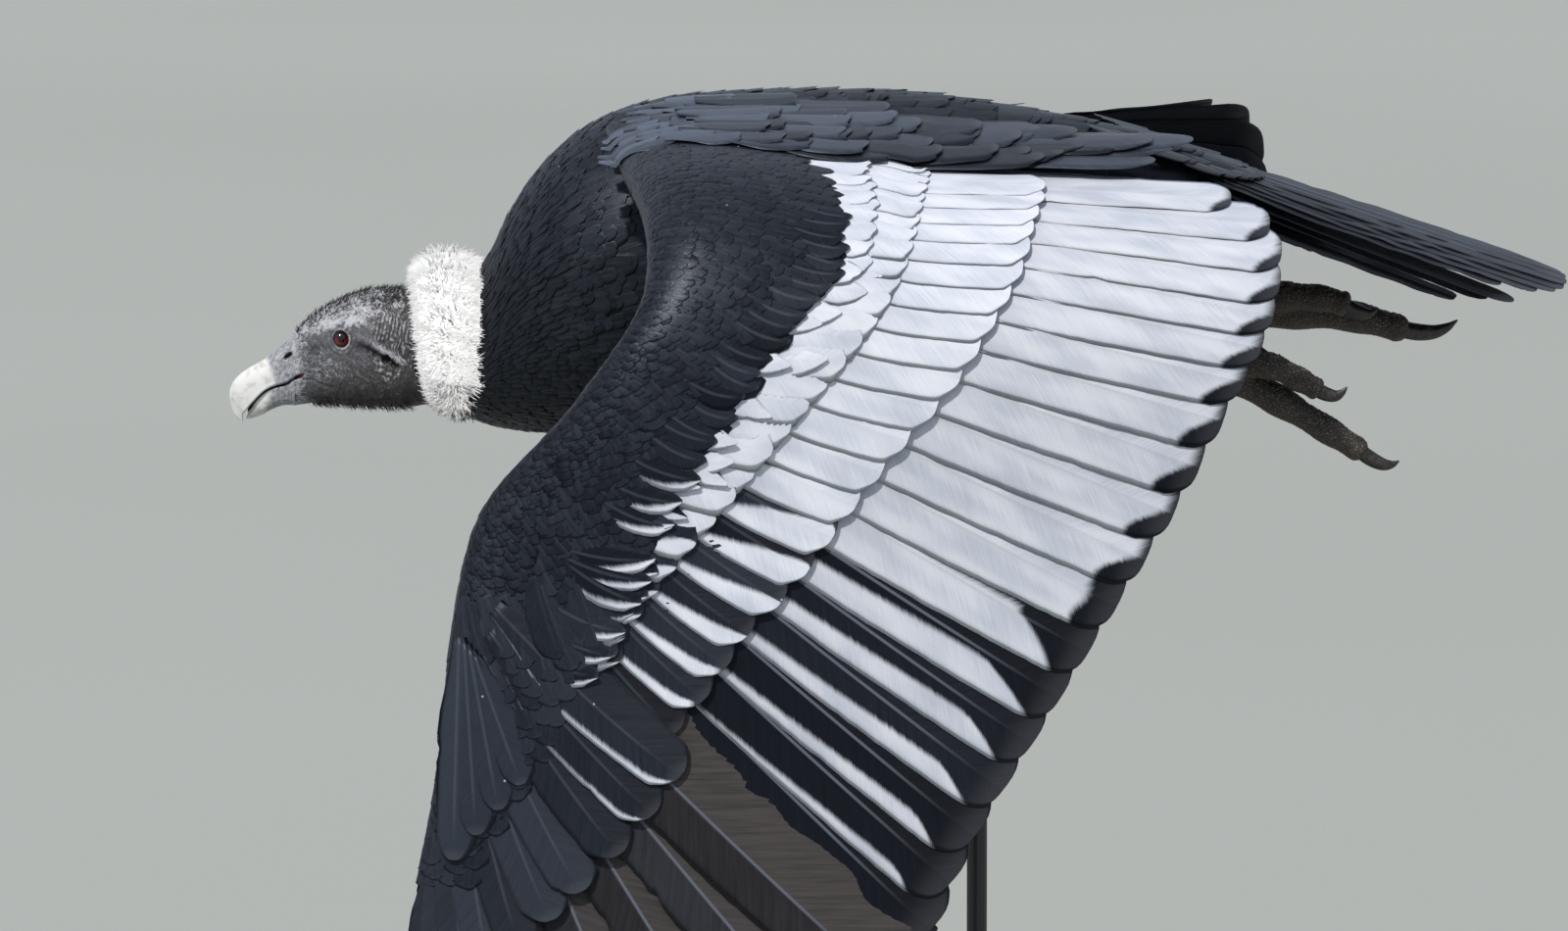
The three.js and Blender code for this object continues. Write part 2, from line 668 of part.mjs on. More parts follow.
function lockSolid(round, section) {
  const across = ruffPoint(round + 0.1, section, 1).sub(ruffPoint(round - 0.1, section, 1)).normalize();
  const rings = [[0, 0.9], [0.5, 1], [0.84, 0.78], [1, 0.3]].map(([t, share]) => {
    const lift = mix(RUFF.core - 0.12, 1, Math.sin(t * (Math.PI / 2)));
    const centre = ruffPoint(round + 0.05 * t, section + LOCK.lean * t, lift);
    const ahead = ruffPoint(round + 0.05 * t, section + LOCK.lean * (t + 0.1), lift + 0.05);
    const out = ahead.sub(centre).normalize().cross(across).normalize();
    return ringRound(
      centre.toArray(),
      out.multiplyScalar((LOCK.thick / 2) * share).toArray(),
      across.clone().multiplyScalar((LOCK.wide / 2) * share).toArray(),
      4,
    );
  });
  return loftedSolid(rings);
}

function ruffSolid() {
  const core = numbers(7).map((i) => {
    const section = mix(-80, 80, i / 6);
    return numbers(20).map((k) => ruffPoint((k / 20) * 2 * Math.PI, section, RUFF.core).toArray());
  });
  const locks = LOCK_ROWS.flatMap((section, row) =>
    numbers(RUFF.round).map((i) => lockSolid(((i + row / 3) / RUFF.round) * 2 * Math.PI, section)));
  return joined([loftedSolid(core), ...locks]);
}

// Tail: twelve feathers in a low arched fan behind the rump, turned a little to the left
const TAIL = { x: 298, z: 152, pitch: 18.7, roll: 9, arch: 0.12, spread: 13, inside: 36 };
const TAIL_PAIRS = 6;
const TAIL_STEP = 3.2; // each pair lies this much under the one before, the left feather half as much again
const TAIL_SHORTER = [0, 2, 8, 22, 50, 80]; // how much shorter each pair is than the middle one
const TAIL_GAP = 8; // between the outermost left feather and the others
function tailPoint([p, q, h]) {
  const pitch = TAIL.pitch * DEG;
  const roll = TAIL.roll * DEG;
  const lift = h - TAIL.arch * (Math.hypot(q, 20) - 20);
  const out = q * Math.cos(roll) - lift * Math.sin(roll);
  const up = q * Math.sin(roll) + lift * Math.cos(roll);
  return [
    TAIL.x + p * Math.cos(pitch) + up * Math.sin(pitch),
    out,
    TAIL.z - p * Math.sin(pitch) + up * Math.cos(pitch),
  ];
}

function tailFeather(k, side) {
  const turn = mix(1.2, TAIL.spread, k / (TAIL_PAIRS - 1)) * DEG;
  const length = TAIL_LENGTH + TAIL.inside - TAIL_SHORTER[k];
  const root = [-TAIL.inside, side * (4 + 3.2 * k)];
  const isLowest = side < 0 && k === TAIL_PAIRS - 1;
  return {
    root,
    tip: [root[0] + Math.cos(turn) * length, root[1] + side * Math.sin(turn) * length],
    width: 58,
    height: -TAIL_STEP * (k + (side < 0 ? 0.5 : 0)) - (isLowest ? TAIL_GAP : 0),
    tilt: 0,
    lead: 0.5,
    shaft: 1.6,
  };
}

// Rump, x, then top and bottom over the body line, half width
const RUMP_ROWS = [[TORSO_TO, 155, 60, 45], [345, 143, 78, 36], [375, 126, 92, 24], [400, 112, 98, 10]];
const RUMP_TO = 400;
function tailSolid() {
  const vanes = numbers(TAIL_PAIRS).flatMap((k) =>
    [-1, 1].map((side) => vaneSolid(tailFeather(k, side), FLIGHT_OUTLINE, tailPoint)));
  return joined([uprightSolid(RUMP_ROWS, TORSO_TO + GAP, RUMP_TO, 5, 16, 2), ...vanes]);
}

// Legs trail under the tail; rows are x, y, z over the body line, half height, half width.
const LEG_ROWS = [[70, 66, 5, 40, 26], [140, 68, -9, 38, 25], [200, 60, -5, 25, 19], [240, 52, 5, 14, 13]];
const legSolid = (side, raise, grow = 0) =>
  tubeSolid(LEG_ROWS.map(([x, y, z, a, b], i) => [x, side * y, z + raise * (i / 3), a, b]), 12, 7, grow);

// Each foot: the leg's rise, then the tarsus and the toes by the same rows, with the claw's tip
const FEET = {
  left: {
    side: -1,
    raise: 0,
    tarsus: [
      [240.5, -52, 5, 12, 11], [268, -51, 1, 10.5, 10],
      [305, -50, -7, 11.5, 11], [336, -49, -15, 14, 14],
    ],
    toes: {
      middle: {
        rows: [
          [326, -50, -13, 13, 12], [366, -51, -34, 12, 11],
          [404, -52, -57, 10.5, 10], [434, -52, -76, 10, 8.5],
        ],
        claw: [458, -52, -82],
      },
      outer: {
        rows: [
          [330, -60, -5, 11, 10], [358, -66, -5, 10.5, 10],
          [380, -68, -15, 9.5, 8.5], [398, -68, -25, 9.5, 8],
        ],
        claw: [416, -68, -22],
      },
      inner: {
        rows: [
          [328, -40, -13, 11, 10], [354, -34, -28, 10, 9],
          [376, -32, -41, 9, 8], [392, -31, -52, 8.5, 7.5],
        ],
        claw: [410, -31, -60],
      },
      hind: {
        rows: [
          [322, -48, -17, 10, 9], [312, -46, -30, 8, 8],
          [300, -45, -38, 7.5, 7], [288, -45, -42, 7, 6.5],
        ],
        claw: [272, -45, -50],
      },
    },
  },
  right: {
    side: 1,
    raise: 28,
    tarsus: [
      [240.5, 52, 33, 12, 11], [272, 51, 34, 11, 10.5],
      [312, 50, 34, 13, 12], [346, 49, 32, 17, 15],
    ],
    toes: {
      middle: {
        rows: [
          [336, 49, 29, 16, 14], [384, 50, 28, 14, 13],
          [432, 50, 23, 12, 11], [474, 50, 12, 11.5, 9.5],
        ],
        claw: [510, 50, 19],
      },
      outer: {
        rows: [
          [338, 60, 31, 13, 12], [376, 66, 33, 12, 11],
          [404, 68, 30, 10.5, 9.5], [424, 68, 24, 10.5, 8.5],
        ],
        claw: [446, 68, 22],
      },
      inner: {
        rows: [
          [336, 40, 36, 13, 12], [372, 34, 41, 12, 11],
          [402, 32, 40, 10.5, 9.5], [426, 31, 34, 10.5, 8.5],
        ],
        claw: [446, 31, 31],
      },
      hind: {
        rows: [[328, 48, 26, 11, 10], [334, 46, 14, 9, 8.5], [344, 45, 4, 8.5, 8], [354, 45, -2, 8, 7.5]],
        claw: [370, 45, -6],
      },
    },
  },
};
const footSolid = (foot) =>
  joined([tubeSolid(foot.tarsus, 8, 5), ...Object.values(foot.toes).map((toe) => tubeSolid(toe.rows, 8, 5))]);

// A claw leaves the end of its toe, arches over and tapers to a blunt tip.
const CLAW_INSIDE = 3;
const CLAW_ARCH = 4;
function clawSolid(toe, grow = 0) {
  const [x, y, z, high, wide] = toe.rows[toe.rows.length - 1];
  const before = toe.rows[toe.rows.length - 2];
  const along = new THREE.Vector3(x - before[0], y - before[1], z - before[2]).normalize();
  const start = new THREE.Vector3(x, y, z).addScaledVector(along, -CLAW_INSIDE);
  const middle = [0, 1, 2].map((k) => ([x, y, z][k] + toe.claw[k]) / 2);
  return tubeSolid(
    [
      [...start.toArray(), high * 0.62, wide * 0.6],
      [middle[0], middle[1], middle[2] - CLAW_ARCH, high * 0.5, wide * 0.46],
      [...toe.claw, 1, 0.9],
    ],
    6,
    5,
    grow,
  );
}

// Stand: a plate with rounded corners and two rods up into notches in the belly
const BASE = { long: 620, wide: 460, high: 24, corner: 60, x: 20 };
const ROD_RADIUS = 8;
const RODS = { front: -60, rear: 130 };

function baseSolid() {
  const shape = new THREE.Shape();
  const [a, b, r] = [BASE.long / 2, BASE.wide / 2, BASE.corner];
  shape.moveTo(-a + r, -b);
  shape.lineTo(a - r, -b);
  shape.absarc(a - r, -b + r, r, -Math.PI / 2, 0);
  shape.lineTo(a, b - r);
  shape.absarc(a - r, b - r, r, 0, Math.PI / 2);
  shape.lineTo(-a + r, b);
  shape.absarc(-a + r, b - r, r, Math.PI / 2, Math.PI);
  shape.lineTo(-a, -b + r);
  shape.absarc(-a + r, -b + r, r, Math.PI, 1.5 * Math.PI);
  const plate = new THREE.ExtrudeGeometry(shape, { depth: BASE.high, bevelEnabled: false, curveSegments: 6 });
  plate.translate(BASE.x, 0, -BODY_LEVEL);
  return solidOfGeometry(plate);
}

// A rod stands on the plate and ends just under the belly's curve.
function rodSolid(x) {
  const from = BASE.high + GAP - BODY_LEVEL;
  const rod = new THREE.CylinderGeometry(ROD_RADIUS, ROD_RADIUS, -from, 16);
  rod.rotateX(Math.PI / 2);
  rod.translate(x, 0, from / 2);
  return largestOf(solidOfGeometry(rod).subtract(torsoSolid(GAP)));
}

// Materials
const finish = (color, roughness, metalness = 0) =>
  new THREE.MeshStandardMaterial({ color, roughness, metalness });
const MATERIALS = {
  plumage: finish(0x1d1f25, 0.6),
  ruff: finish(0xf2f2f0, 0.9),
  skin: finish(0x4b474a, 0.7),
  horn: finish(0xd9d8cf, 0.35),
  eye: finish(0x6b1712, 0.1),
  foot: finish(0x4a443c, 0.7),
  claw: finish(0x1b1a1a, 0.35),
  stand: finish(0x2a2a2b, 0.4, 0.6),
};

// Assembly, with everything hung from the body line

const condor = new THREE.Group();
condor.position.z = BODY_LEVEL;

function addPart(name, solid, material) {
  const mesh = withoutSlivers(solid).getMesh();
  const width = mesh.numProp;
  const points = new Float32Array(mesh.numVert * 3);
  for (let i = 0; i < mesh.numVert; i += 1) {
    points.set(mesh.vertProperties.subarray(i * width, i * width + 3), i * 3);
  }
  const geometry = new THREE.BufferGeometry();
  geometry.setAttribute("position", new THREE.BufferAttribute(points, 3));
  geometry.setIndex(new THREE.BufferAttribute(new Uint32Array(mesh.triVerts), 1));
  const part = new THREE.Mesh(geometry, material);
  part.name = name;
  condor.add(part);
}

const torso = torsoSolid();
const roomForTorso = torsoSolid(GAP);
addPart("torso", torso, MATERIALS.plumage);
addPart("neck", neckSolid(), MATERIALS.plumage);
addPart("ruff", largestOf(ruffSolid().subtract(neckSolid(GAP)).subtract(roomForTorso)), MATERIALS.ruff);
addPart("head", headSolid(), MATERIALS.skin);
addPart("bill_upper", upperBillSolid(), MATERIALS.horn);
addPart("bill_lower", billSolid(LOWER_BILL_ROWS, 12), MATERIALS.horn);
addPart("eye_left", eyeSolid(-1), MATERIALS.eye);
addPart("eye_right", eyeSolid(1), MATERIALS.eye);

for (const [side, pose] of Object.entries(WINGS)) {
  for (const [length, solid] of wingSolids(bentWing(pose), roomForTorso)) {
    addPart(`wing_${side}_${length}`, solid, MATERIALS.plumage);
  }
}

addPart("tail", largestOf(tailSolid().subtract(roomForTorso)), MATERIALS.plumage);

for (const [side, foot] of Object.entries(FEET)) {
  const leg = legSolid(foot.side, foot.raise).subtract(roomForTorso);
  addPart(`leg_${side}`, largestOf(leg), MATERIALS.plumage);
  let feet = footSolid(foot).subtract(legSolid(foot.side, foot.raise, GAP)).subtract(roomForTorso);
  for (const [toe, shape] of Object.entries(foot.toes)) {
    feet = feet.subtract(clawSolid(shape, GAP));
    addPart(`claw_${side}_${toe}`, clawSolid(shape), MATERIALS.claw);
  }
  addPart(`foot_${side}`, largestOf(feet), MATERIALS.foot);
}

addPart("stand_base", baseSolid(), MATERIALS.stand);
for (const [place, x] of Object.entries(RODS)) addPart(`stand_rod_${place}`, rodSolid(x), MATERIALS.stand);

export default condor;
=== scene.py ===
# Looks of a life-size andean condor, an adult female on the wing, held by a plain display stand.
import math
import bpy
import numpy as np
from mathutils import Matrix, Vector, noise


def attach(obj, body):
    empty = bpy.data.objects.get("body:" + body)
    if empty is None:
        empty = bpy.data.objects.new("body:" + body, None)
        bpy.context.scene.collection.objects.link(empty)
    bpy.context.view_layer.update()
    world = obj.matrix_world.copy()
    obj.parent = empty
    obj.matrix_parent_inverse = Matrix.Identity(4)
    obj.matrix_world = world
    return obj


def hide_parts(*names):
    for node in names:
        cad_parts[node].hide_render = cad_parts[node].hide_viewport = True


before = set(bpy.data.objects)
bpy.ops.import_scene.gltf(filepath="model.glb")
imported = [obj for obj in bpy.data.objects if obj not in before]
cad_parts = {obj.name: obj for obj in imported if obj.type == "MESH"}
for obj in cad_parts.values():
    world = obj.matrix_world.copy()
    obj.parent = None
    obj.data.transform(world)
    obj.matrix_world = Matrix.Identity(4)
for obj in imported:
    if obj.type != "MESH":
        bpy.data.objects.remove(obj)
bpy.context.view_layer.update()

mm = 0.001
bodyLevel = 900  # the body line through head and neck, over the floor


# Camera, light and floor

cameraSetup = {"target": (-0.02325, 0, 0.81), "distance": 8, "elevation": 6, "seenWidth": 1.24, "sensor": 36}
lightSetup = {
    "sunFrom": (-0.42, -0.85, 1.15), "sunPower": 3.0, "sunAngle": 3, "sunColour": (1, 0.965, 0.91),
    "skyColour": (0.66, 0.74, 0.86), "skyPower": 0.72, "view": "Standard",
}
floorSetup = {"reach": 150, "colour": (0.37, 0.38, 0.354), "blotch": (0.35, 0.359, 0.334)}


def makeCamera():
    data = bpy.data.cameras.new("camera")
    data.sensor_width = cameraSetup["sensor"]
    data.lens = cameraSetup["sensor"] * cameraSetup["distance"] / cameraSetup["seenWidth"]
    data.clip_end = 500
    camera = bpy.data.objects.new("camera", data)
    bpy.context.scene.collection.objects.link(camera)
    target = Vector(cameraSetup["target"])
    tilt = math.radians(cameraSetup["elevation"])
    camera.location = target + cameraSetup["distance"] * Vector((0, -math.cos(tilt), math.sin(tilt)))
    camera.rotation_euler = (target - camera.location).to_track_quat("-Z", "Y").to_euler()
    bpy.context.scene.camera = camera


def makeLight():
    sun = bpy.data.lights.new("sun", "SUN")
    sun.energy = lightSetup["sunPower"]
    sun.angle = math.radians(lightSetup["sunAngle"])
    sun.color = lightSetup["sunColour"]
    lamp = bpy.data.objects.new("sun", sun)
    lamp.rotation_euler = Vector(lightSetup["sunFrom"]).to_track_quat("Z", "Y").to_euler()
    bpy.context.scene.collection.objects.link(lamp)
    world = bpy.data.worlds.new("soft sky")
    world.use_nodes = True
    sky = world.node_tree.nodes["Background"]
    sky.inputs["Color"].default_value = (*lightSetup["skyColour"], 1)
    sky.inputs["Strength"].default_value = lightSetup["skyPower"]
    bpy.context.scene.world = world
    bpy.context.scene.view_settings.view_transform = lightSetup["view"]


makeCamera()
makeLight()
print("camera and light ready")


# Small mathematics

def mix(a, b, t):
    return a + (b - a) * t


def smoothStep(low, high, v):
    t = np.clip((v - low) / (high - low), 0, 1)
    return t * t * (3 - 2 * t)


def unit(v):
    return v / np.maximum(np.linalg.norm(v, axis=-1, keepdims=True), 1e-9)


def heading(turn):  # steps of length one in a flat layout, turned from +x
    return np.stack([np.cos(turn), np.sin(turn)], -1)


def inFrame(points):  # from millimetres about the body line to metres over the floor
    return (points + [0, 0, bodyLevel]) * mm


def tableAt(table, v, k=1):  # column k at v, on a smooth curve through the rows
    rows = np.asarray(table, float)
    x, y = rows[:, 0], rows[:, k]
    v = np.clip(v, x[0], x[-1])
    i = np.clip(np.searchsorted(x, v, "right") - 1, 0, len(x) - 2)
    before, after = np.maximum(np.arange(len(x)) - 1, 0), np.minimum(np.arange(len(x)) + 1, len(x) - 1)
    slope = (y[after] - y[before]) / (x[after] - x[before])
    wide = x[i + 1] - x[i]
    t = (v - x[i]) / wide
    rise, m0, m1 = y[i + 1] - y[i], slope[i] * wide, slope[i + 1] * wide
    return y[i] + m0 * t + (3 * rise - 2 * m0 - m1) * t**2 + (m0 + m1 - 2 * rise) * t**3


# Node materials

class Paint:  # one material; its methods return sockets
    def __init__(self, name, **fixed):
        self.material = bpy.data.materials.new(name)
        self.material.use_nodes = True
        self.tree = self.material.node_tree
        self.shader = self.tree.nodes["Principled BSDF"]
        for socket, value in fixed.items():
            self.shader.inputs[socket.replace("_", " ")].default_value = value

    def node(self, kind, *inputs, out=0, **settings):
        made = self.tree.nodes.new(kind)
        for key, value in settings.items():
            setattr(made, key, value)
        for slot, value in inputs:
            if isinstance(value, bpy.types.NodeSocket):
                self.tree.links.new(value, made.inputs[slot])
            else:
                made.inputs[slot].default_value = value
        return made.outputs[out]

    def calc(self, operation, *values):
        return self.node("ShaderNodeMath", *enumerate(values), operation=operation)

    def plus(self, a, b):
        return self.calc("ADD", a, b)

    def minus(self, a, b):
        return self.calc("SUBTRACT", a, b)

    def times(self, a, b):
        return self.calc("MULTIPLY", a, b)

    def step(self, value, low, high, to=(0, 1)):
        ends = [(0, value), (1, low), (2, high), (3, to[0]), (4, to[1])]
        return self.node("ShaderNodeMapRange", *ends, interpolation_type="SMOOTHSTEP")

    def blend(self, share, a, b):
        colours = [(slot, (*c, 1) if isinstance(c, tuple) else c) for slot, c in ((6, a), (7, b))]
        return self.node("ShaderNodeMix", (0, share), *colours, out=2, data_type="RGBA")

    def attribute(self, name):  # the three numbers kept on the mesh under this name
        vector = self.node("ShaderNodeAttribute", out=1, attribute_name=name)
        split = self.node("ShaderNodeSeparateXYZ", (0, vector)).node
        return split.outputs[0], split.outputs[1], split.outputs[2]

    def place(self):
        return self.node("ShaderNodeTexCoord", out=3)

    def join(self, x, y, z):
        return self.node("ShaderNodeCombineXYZ", (0, x), (1, y), (2, z))

    def cloud(self, where, scale, detail=2, rough=0.5):
        return self.node("ShaderNodeTexNoise", (0, where), (2, scale), (3, detail), (4, rough))

    def cells(self, where, scale, feature="F1"):
        return self.node("ShaderNodeTexVoronoi", (0, where), (2, scale), feature=feature)

    def bump(self, height, strength, distance, normal=None):
        lie = [(4, normal)] if normal else []
        return self.node("ShaderNodeBump", (0, strength), (1, distance), (3, height), *lie)

    def softNormal(self, share):  # turned towards the direction kept on the mesh as outward
        kept = self.node("ShaderNodeAttribute", out=1, attribute_name="outward")
        own = self.node("ShaderNodeNewGeometry", out=1)
        between = self.node("ShaderNodeMix", (0, share), (4, own), (5, kept), out=1, data_type="VECTOR")
        return self.node("ShaderNodeVectorMath", (0, between), operation="NORMALIZE")

    def feed(self, **sockets):
        for socket, value in sockets.items():
            self.tree.links.new(value, self.shader.inputs[socket.replace("_", " ")])
        return self.material


# Meshes

def meshOf(name, points, quads, polygons=()):
    mesh = bpy.data.meshes.new(name)
    loops = [np.asarray(quads, np.int32).ravel()] + [np.asarray(p, np.int32) for p in polygons]
    corners = np.concatenate(loops)
    sizes = [4] * (len(loops[0]) // 4) + [len(p) for p in polygons]
    starts = np.concatenate([[0], np.cumsum(sizes)[:-1]])
    mesh.vertices.add(len(points))
    mesh.vertices.foreach_set("co", np.asarray(points, np.float32).ravel())
    mesh.loops.add(len(corners))
    mesh.loops.foreach_set("vertex_index", corners)
    mesh.polygons.add(len(starts))
    mesh.polygons.foreach_set("loop_start", starts.astype(np.int32))
    mesh.update(calc_edges=True)
    mesh.shade_smooth()
    return mesh


def addPiece(name, mesh, finish, slot, *nodes):  # puts one finished piece in the scene
    piece = bpy.data.objects.new(name, mesh)
    bpy.context.scene.collection.objects.link(piece)
    mesh.materials.clear()
    mesh.materials.append(finish)
    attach(piece, "root")
    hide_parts(*nodes)
    return piece


def setNumbers(mesh, name, values, domain="POINT"):
    kept = mesh.attributes.new(name, "FLOAT_VECTOR", domain)
    kept.data.foreach_set("vector", np.asarray(values, np.float32).ravel())


def setBakeMap(mesh, places):
    layer = mesh.uv_layers.new(name="OFBake")
    layer.data.foreach_set("uv", np.asarray(places, np.float32).ravel())


def cornerPoints(mesh):  # the place of every face corner
    points = np.empty(len(mesh.vertices) * 3, np.float32)
    mesh.vertices.foreach_get("co", points)
    corners = np.empty(len(mesh.loops), np.int32)
    mesh.loops.foreach_get("vertex_index", corners)
    return points.reshape(-1, 3)[corners]


def lateralBake(mesh):  # an unwrap round the long axis of a piece along x
    points = cornerPoints(mesh)
    low, high = points.min(0), points.max(0)
    middle = (low + high) / 2
    x, y, z = points.T
    turn = np.arctan2(y - middle[1], z - middle[2]) / math.pi
    setBakeMap(mesh, np.stack([turn * 0.5 + 0.5, (x - low[0]) / (high[0] - low[0]) * 0.98 + 0.01], -1))


def facingOut(points, quads):
    a, b, c, d = (points[quads[:, k]] for k in range(4))
    volume = np.einsum("ij,ij->i", a, np.cross(b, c)) + np.einsum("ij,ij->i", a, np.cross(c, d))
    return quads if volume.sum() > 0 else quads[:, ::-1]


def skinOver(rings):  # quads and end caps over rings of equal length
    count, sides = rings.shape[:2]
    i, s = np.meshgrid(np.arange(count - 1), np.arange(sides), indexing="ij")
    a, b = (i * sides + s).ravel(), (i * sides + (s + 1) % sides).ravel()
    quads = np.stack([a, a + sides, b + sides, b], 1)
    points = rings.reshape(-1, 3)
    turned = facingOut(points, quads)
    flipped = turned is not quads
    first, last = np.arange(sides), np.arange(sides) + (count - 1) * sides
    return points, turned, [first[::-1] if flipped else first, last if flipped else last[::-1]]


# A barrel is a body with upright rounded sections along x: rows are x, y, z, half height, half width.
# Its flat layout is x, the angle from the top in hundredths of a radian, and the height over it.
def barrel(rows, square=2.0):
    def section(x, angle):
        y, z, high, wide = (tableAt(rows, x, k) for k in (1, 2, 3, 4))
        sine, cosine = np.sin(angle), np.cos(angle)
        power = 2 / square
        return np.stack([
            x,
            y + wide * np.sign(sine) * np.abs(sine) ** power,
            z + high * np.sign(cosine) * np.abs(cosine) ** power,
        ], -1)

    def place(layout):
        x, angle, h = layout[..., 0], layout[..., 1] / 100, layout[..., 2:]
        along = section(x + 2, angle) - section(x - 2, angle)
        around = section(x, angle + 0.02) - section(x, angle - 0.02)
        return inFrame(section(x, angle) + unit(np.cross(along, around)) * h)

    return place


# The wing is laid out flat, as x along the body and l along the span, then bent like an umbrella

wingRoot = {"y": 60, "z": 186}
wingPoses = {
    "left": {"side": -1, "rise": 0, "droop": 14, "bend": 66, "lift": 20, "sweep": 0, "camber": 12},
    "right": {"side": 1, "rise": -6, "droop": 6, "bend": 78, "lift": 20, "sweep": 46, "camber": -24},
}
bendSpan, liftSpan, sweepSpan, camberSpan = (130, 400), (650, 1300), (100, 450), (100, 350)
camberChord, camberOuter = 450, 50
wingReach = 1400  # the longest span that is laid out
leadingEdge = [
    (0, -166), (120, -150), (285, -131), (375, -182), (452, -250),
    (520, -272), (645, -285), (735, -300), (900, -335), (1250, -380),
]
fleshRear = [
    (0, 70), (98, 40), (200, 34), (283, 24), (347, -18), (418, -62),
    (488, -118), (555, -168), (645, -212), (735, -252),
]
fleshDepth = [  # span, over and under the middle surface
    (0, 12, 56), (60, 17, 46), (110, 22, 38), (215, 29, 26), (330, 26, 20),
    (480, 22, 18), (620, 16, 12), (735, 8, 6),
]
thickest, thinEnd = 0.28, 0.5


def bentWing(side, rise, droop, bend, lift, sweep, camber):
    step = 2.0
    spans = np.arange(0, wingReach + step, step)
    middle = spans + step / 2
    slope = np.radians(droop + bend * smoothStep(*bendSpan, middle) - lift * smoothStep(*liftSpan, middle))
    lineY = wingRoot["y"] + np.concatenate([[0], np.cumsum(np.cos(slope) * step)[:-1]])
    lineZ = wingRoot["z"] + rise - np.concatenate([[0], np.cumsum(np.sin(slope) * step)[:-1]])

    def place(layout):
        x, l, h = layout[..., 0], layout[..., 1], layout[..., 2]
        y0, z0, turn = (np.interp(l, spans, line) for line in (lineY, lineZ, slope))
        inwards = np.minimum(0, l)
        chord = np.maximum(0, x - tableAt(leadingEdge, l)) / camberChord
        raised = h - mix(camber, camberOuter, smoothStep(*camberSpan, l)) * chord**2
        return inFrame(np.stack([
            x + sweep * smoothStep(*sweepSpan, l),
            side * (y0 + np.cos(turn) * inwards + np.sin(turn) * raised),
            z0 - np.sin(turn) * inwards + np.cos(turn) * raised,
        ], -1))

    return place


def fleshHeight(x, l, under):  # of the fleshy wing over or under the middle surface, thin behind it
    front, rear = tableAt(leadingEdge, l), tableAt(fleshRear, l)
    c = (x - front) / (rear - front)
    depth = tableAt(fleshDepth, l, 2 if under else 1)
    c1 = np.clip(c, 0, thickest)
    fore = np.sqrt(np.maximum(0, 1 - (1 - c1 / thickest) ** 2))
    aft = mix(thinEnd, 1, np.cos(np.clip((c - thickest) / (1 - thickest), 0, 1) * math.pi / 2) ** 1.2)
    over = depth * np.where(c < thickest, fore, aft)
    return mix(over, 6 if under else -1, smoothStep(0, 45, x - rear))


# Wraps the skin of the wing: a runs back over the top from the leading edge, or under it where negative
def wingSkin(place, inset=0):
    def profile(a, l):
        front = tableAt(leadingEdge, l)
        reach = thickest * (tableAt(fleshRear, l) - front)
        depth = np.where(a < 0, tableAt(fleshDepth, l, 2), tableAt(fleshDepth, l, 1))
        quarter = math.pi / 2 * np.sqrt((reach**2 + depth**2) / 2)
        turn = np.minimum(np.abs(a) / quarter, 1) * math.pi / 2
        x = front + reach * (1 - np.cos(turn)) + np.maximum(0, np.abs(a) - quarter)
        flat = np.where(a < 0, fleshHeight(x, l, True), fleshHeight(x, l, False))
        h = np.where(np.abs(a) < quarter, depth * np.sin(turn), flat) * np.where(a < 0, -1, 1)
        return x, h

    def laid(layout):
        a, l, up = layout[..., 0], layout[..., 1], layout[..., 2]
        (x0, h0), (x1, h1), (x, h) = profile(a - 1.5, l), profile(a + 1.5, l), profile(a, l)
        out = unit(np.stack([h0 - h1, x1 - x0], -1))
        lift = up - inset
        return place(np.stack([x + out[..., 0] * lift, l, h + out[..., 1] * lift], -1))

    return laid


def arcAt(x, l, under=False):  # the layout's a for a place x on the wing
    front = tableAt(leadingEdge, l)
    reach = thickest * (tableAt(fleshRear, l) - front)
    depth = tableAt(fleshDepth, l, 2 if under else 1)
    quarter = math.pi / 2 * np.sqrt((reach**2 + depth**2) / 2)
    inFront = np.arccos(np.clip(1 - (x - front) / reach, -1, 1)) * quarter / (math.pi / 2)
    return np.where(x < front + reach, inFront, quarter + x - front - reach)


# Feathers

noWhite = -60  # a mark this far below the edge of the white leaves a vane dark


def vaneFaces(stations, wide):  # quads of a vane's upper and lower side, which share the points of the rim
    i, k = np.meshgrid(np.arange(stations), np.arange(wide), indexing="ij")
    upper = i * wide + k
    isRim = (i == 0) | (i == stations - 1) | (k == 0) | (k == wide - 1)
    lower = np.where(isRim, upper, stations * wide + (i - 1) * (wide - 2) + (k - 1))

    def asQuads(grid):
        return np.stack([grid[:-1, :-1], grid[1:, :-1], grid[1:, 1:], grid[:-1, 1:]], -1).reshape(-1, 4)

    return asQuads(upper), asQuads(lower)


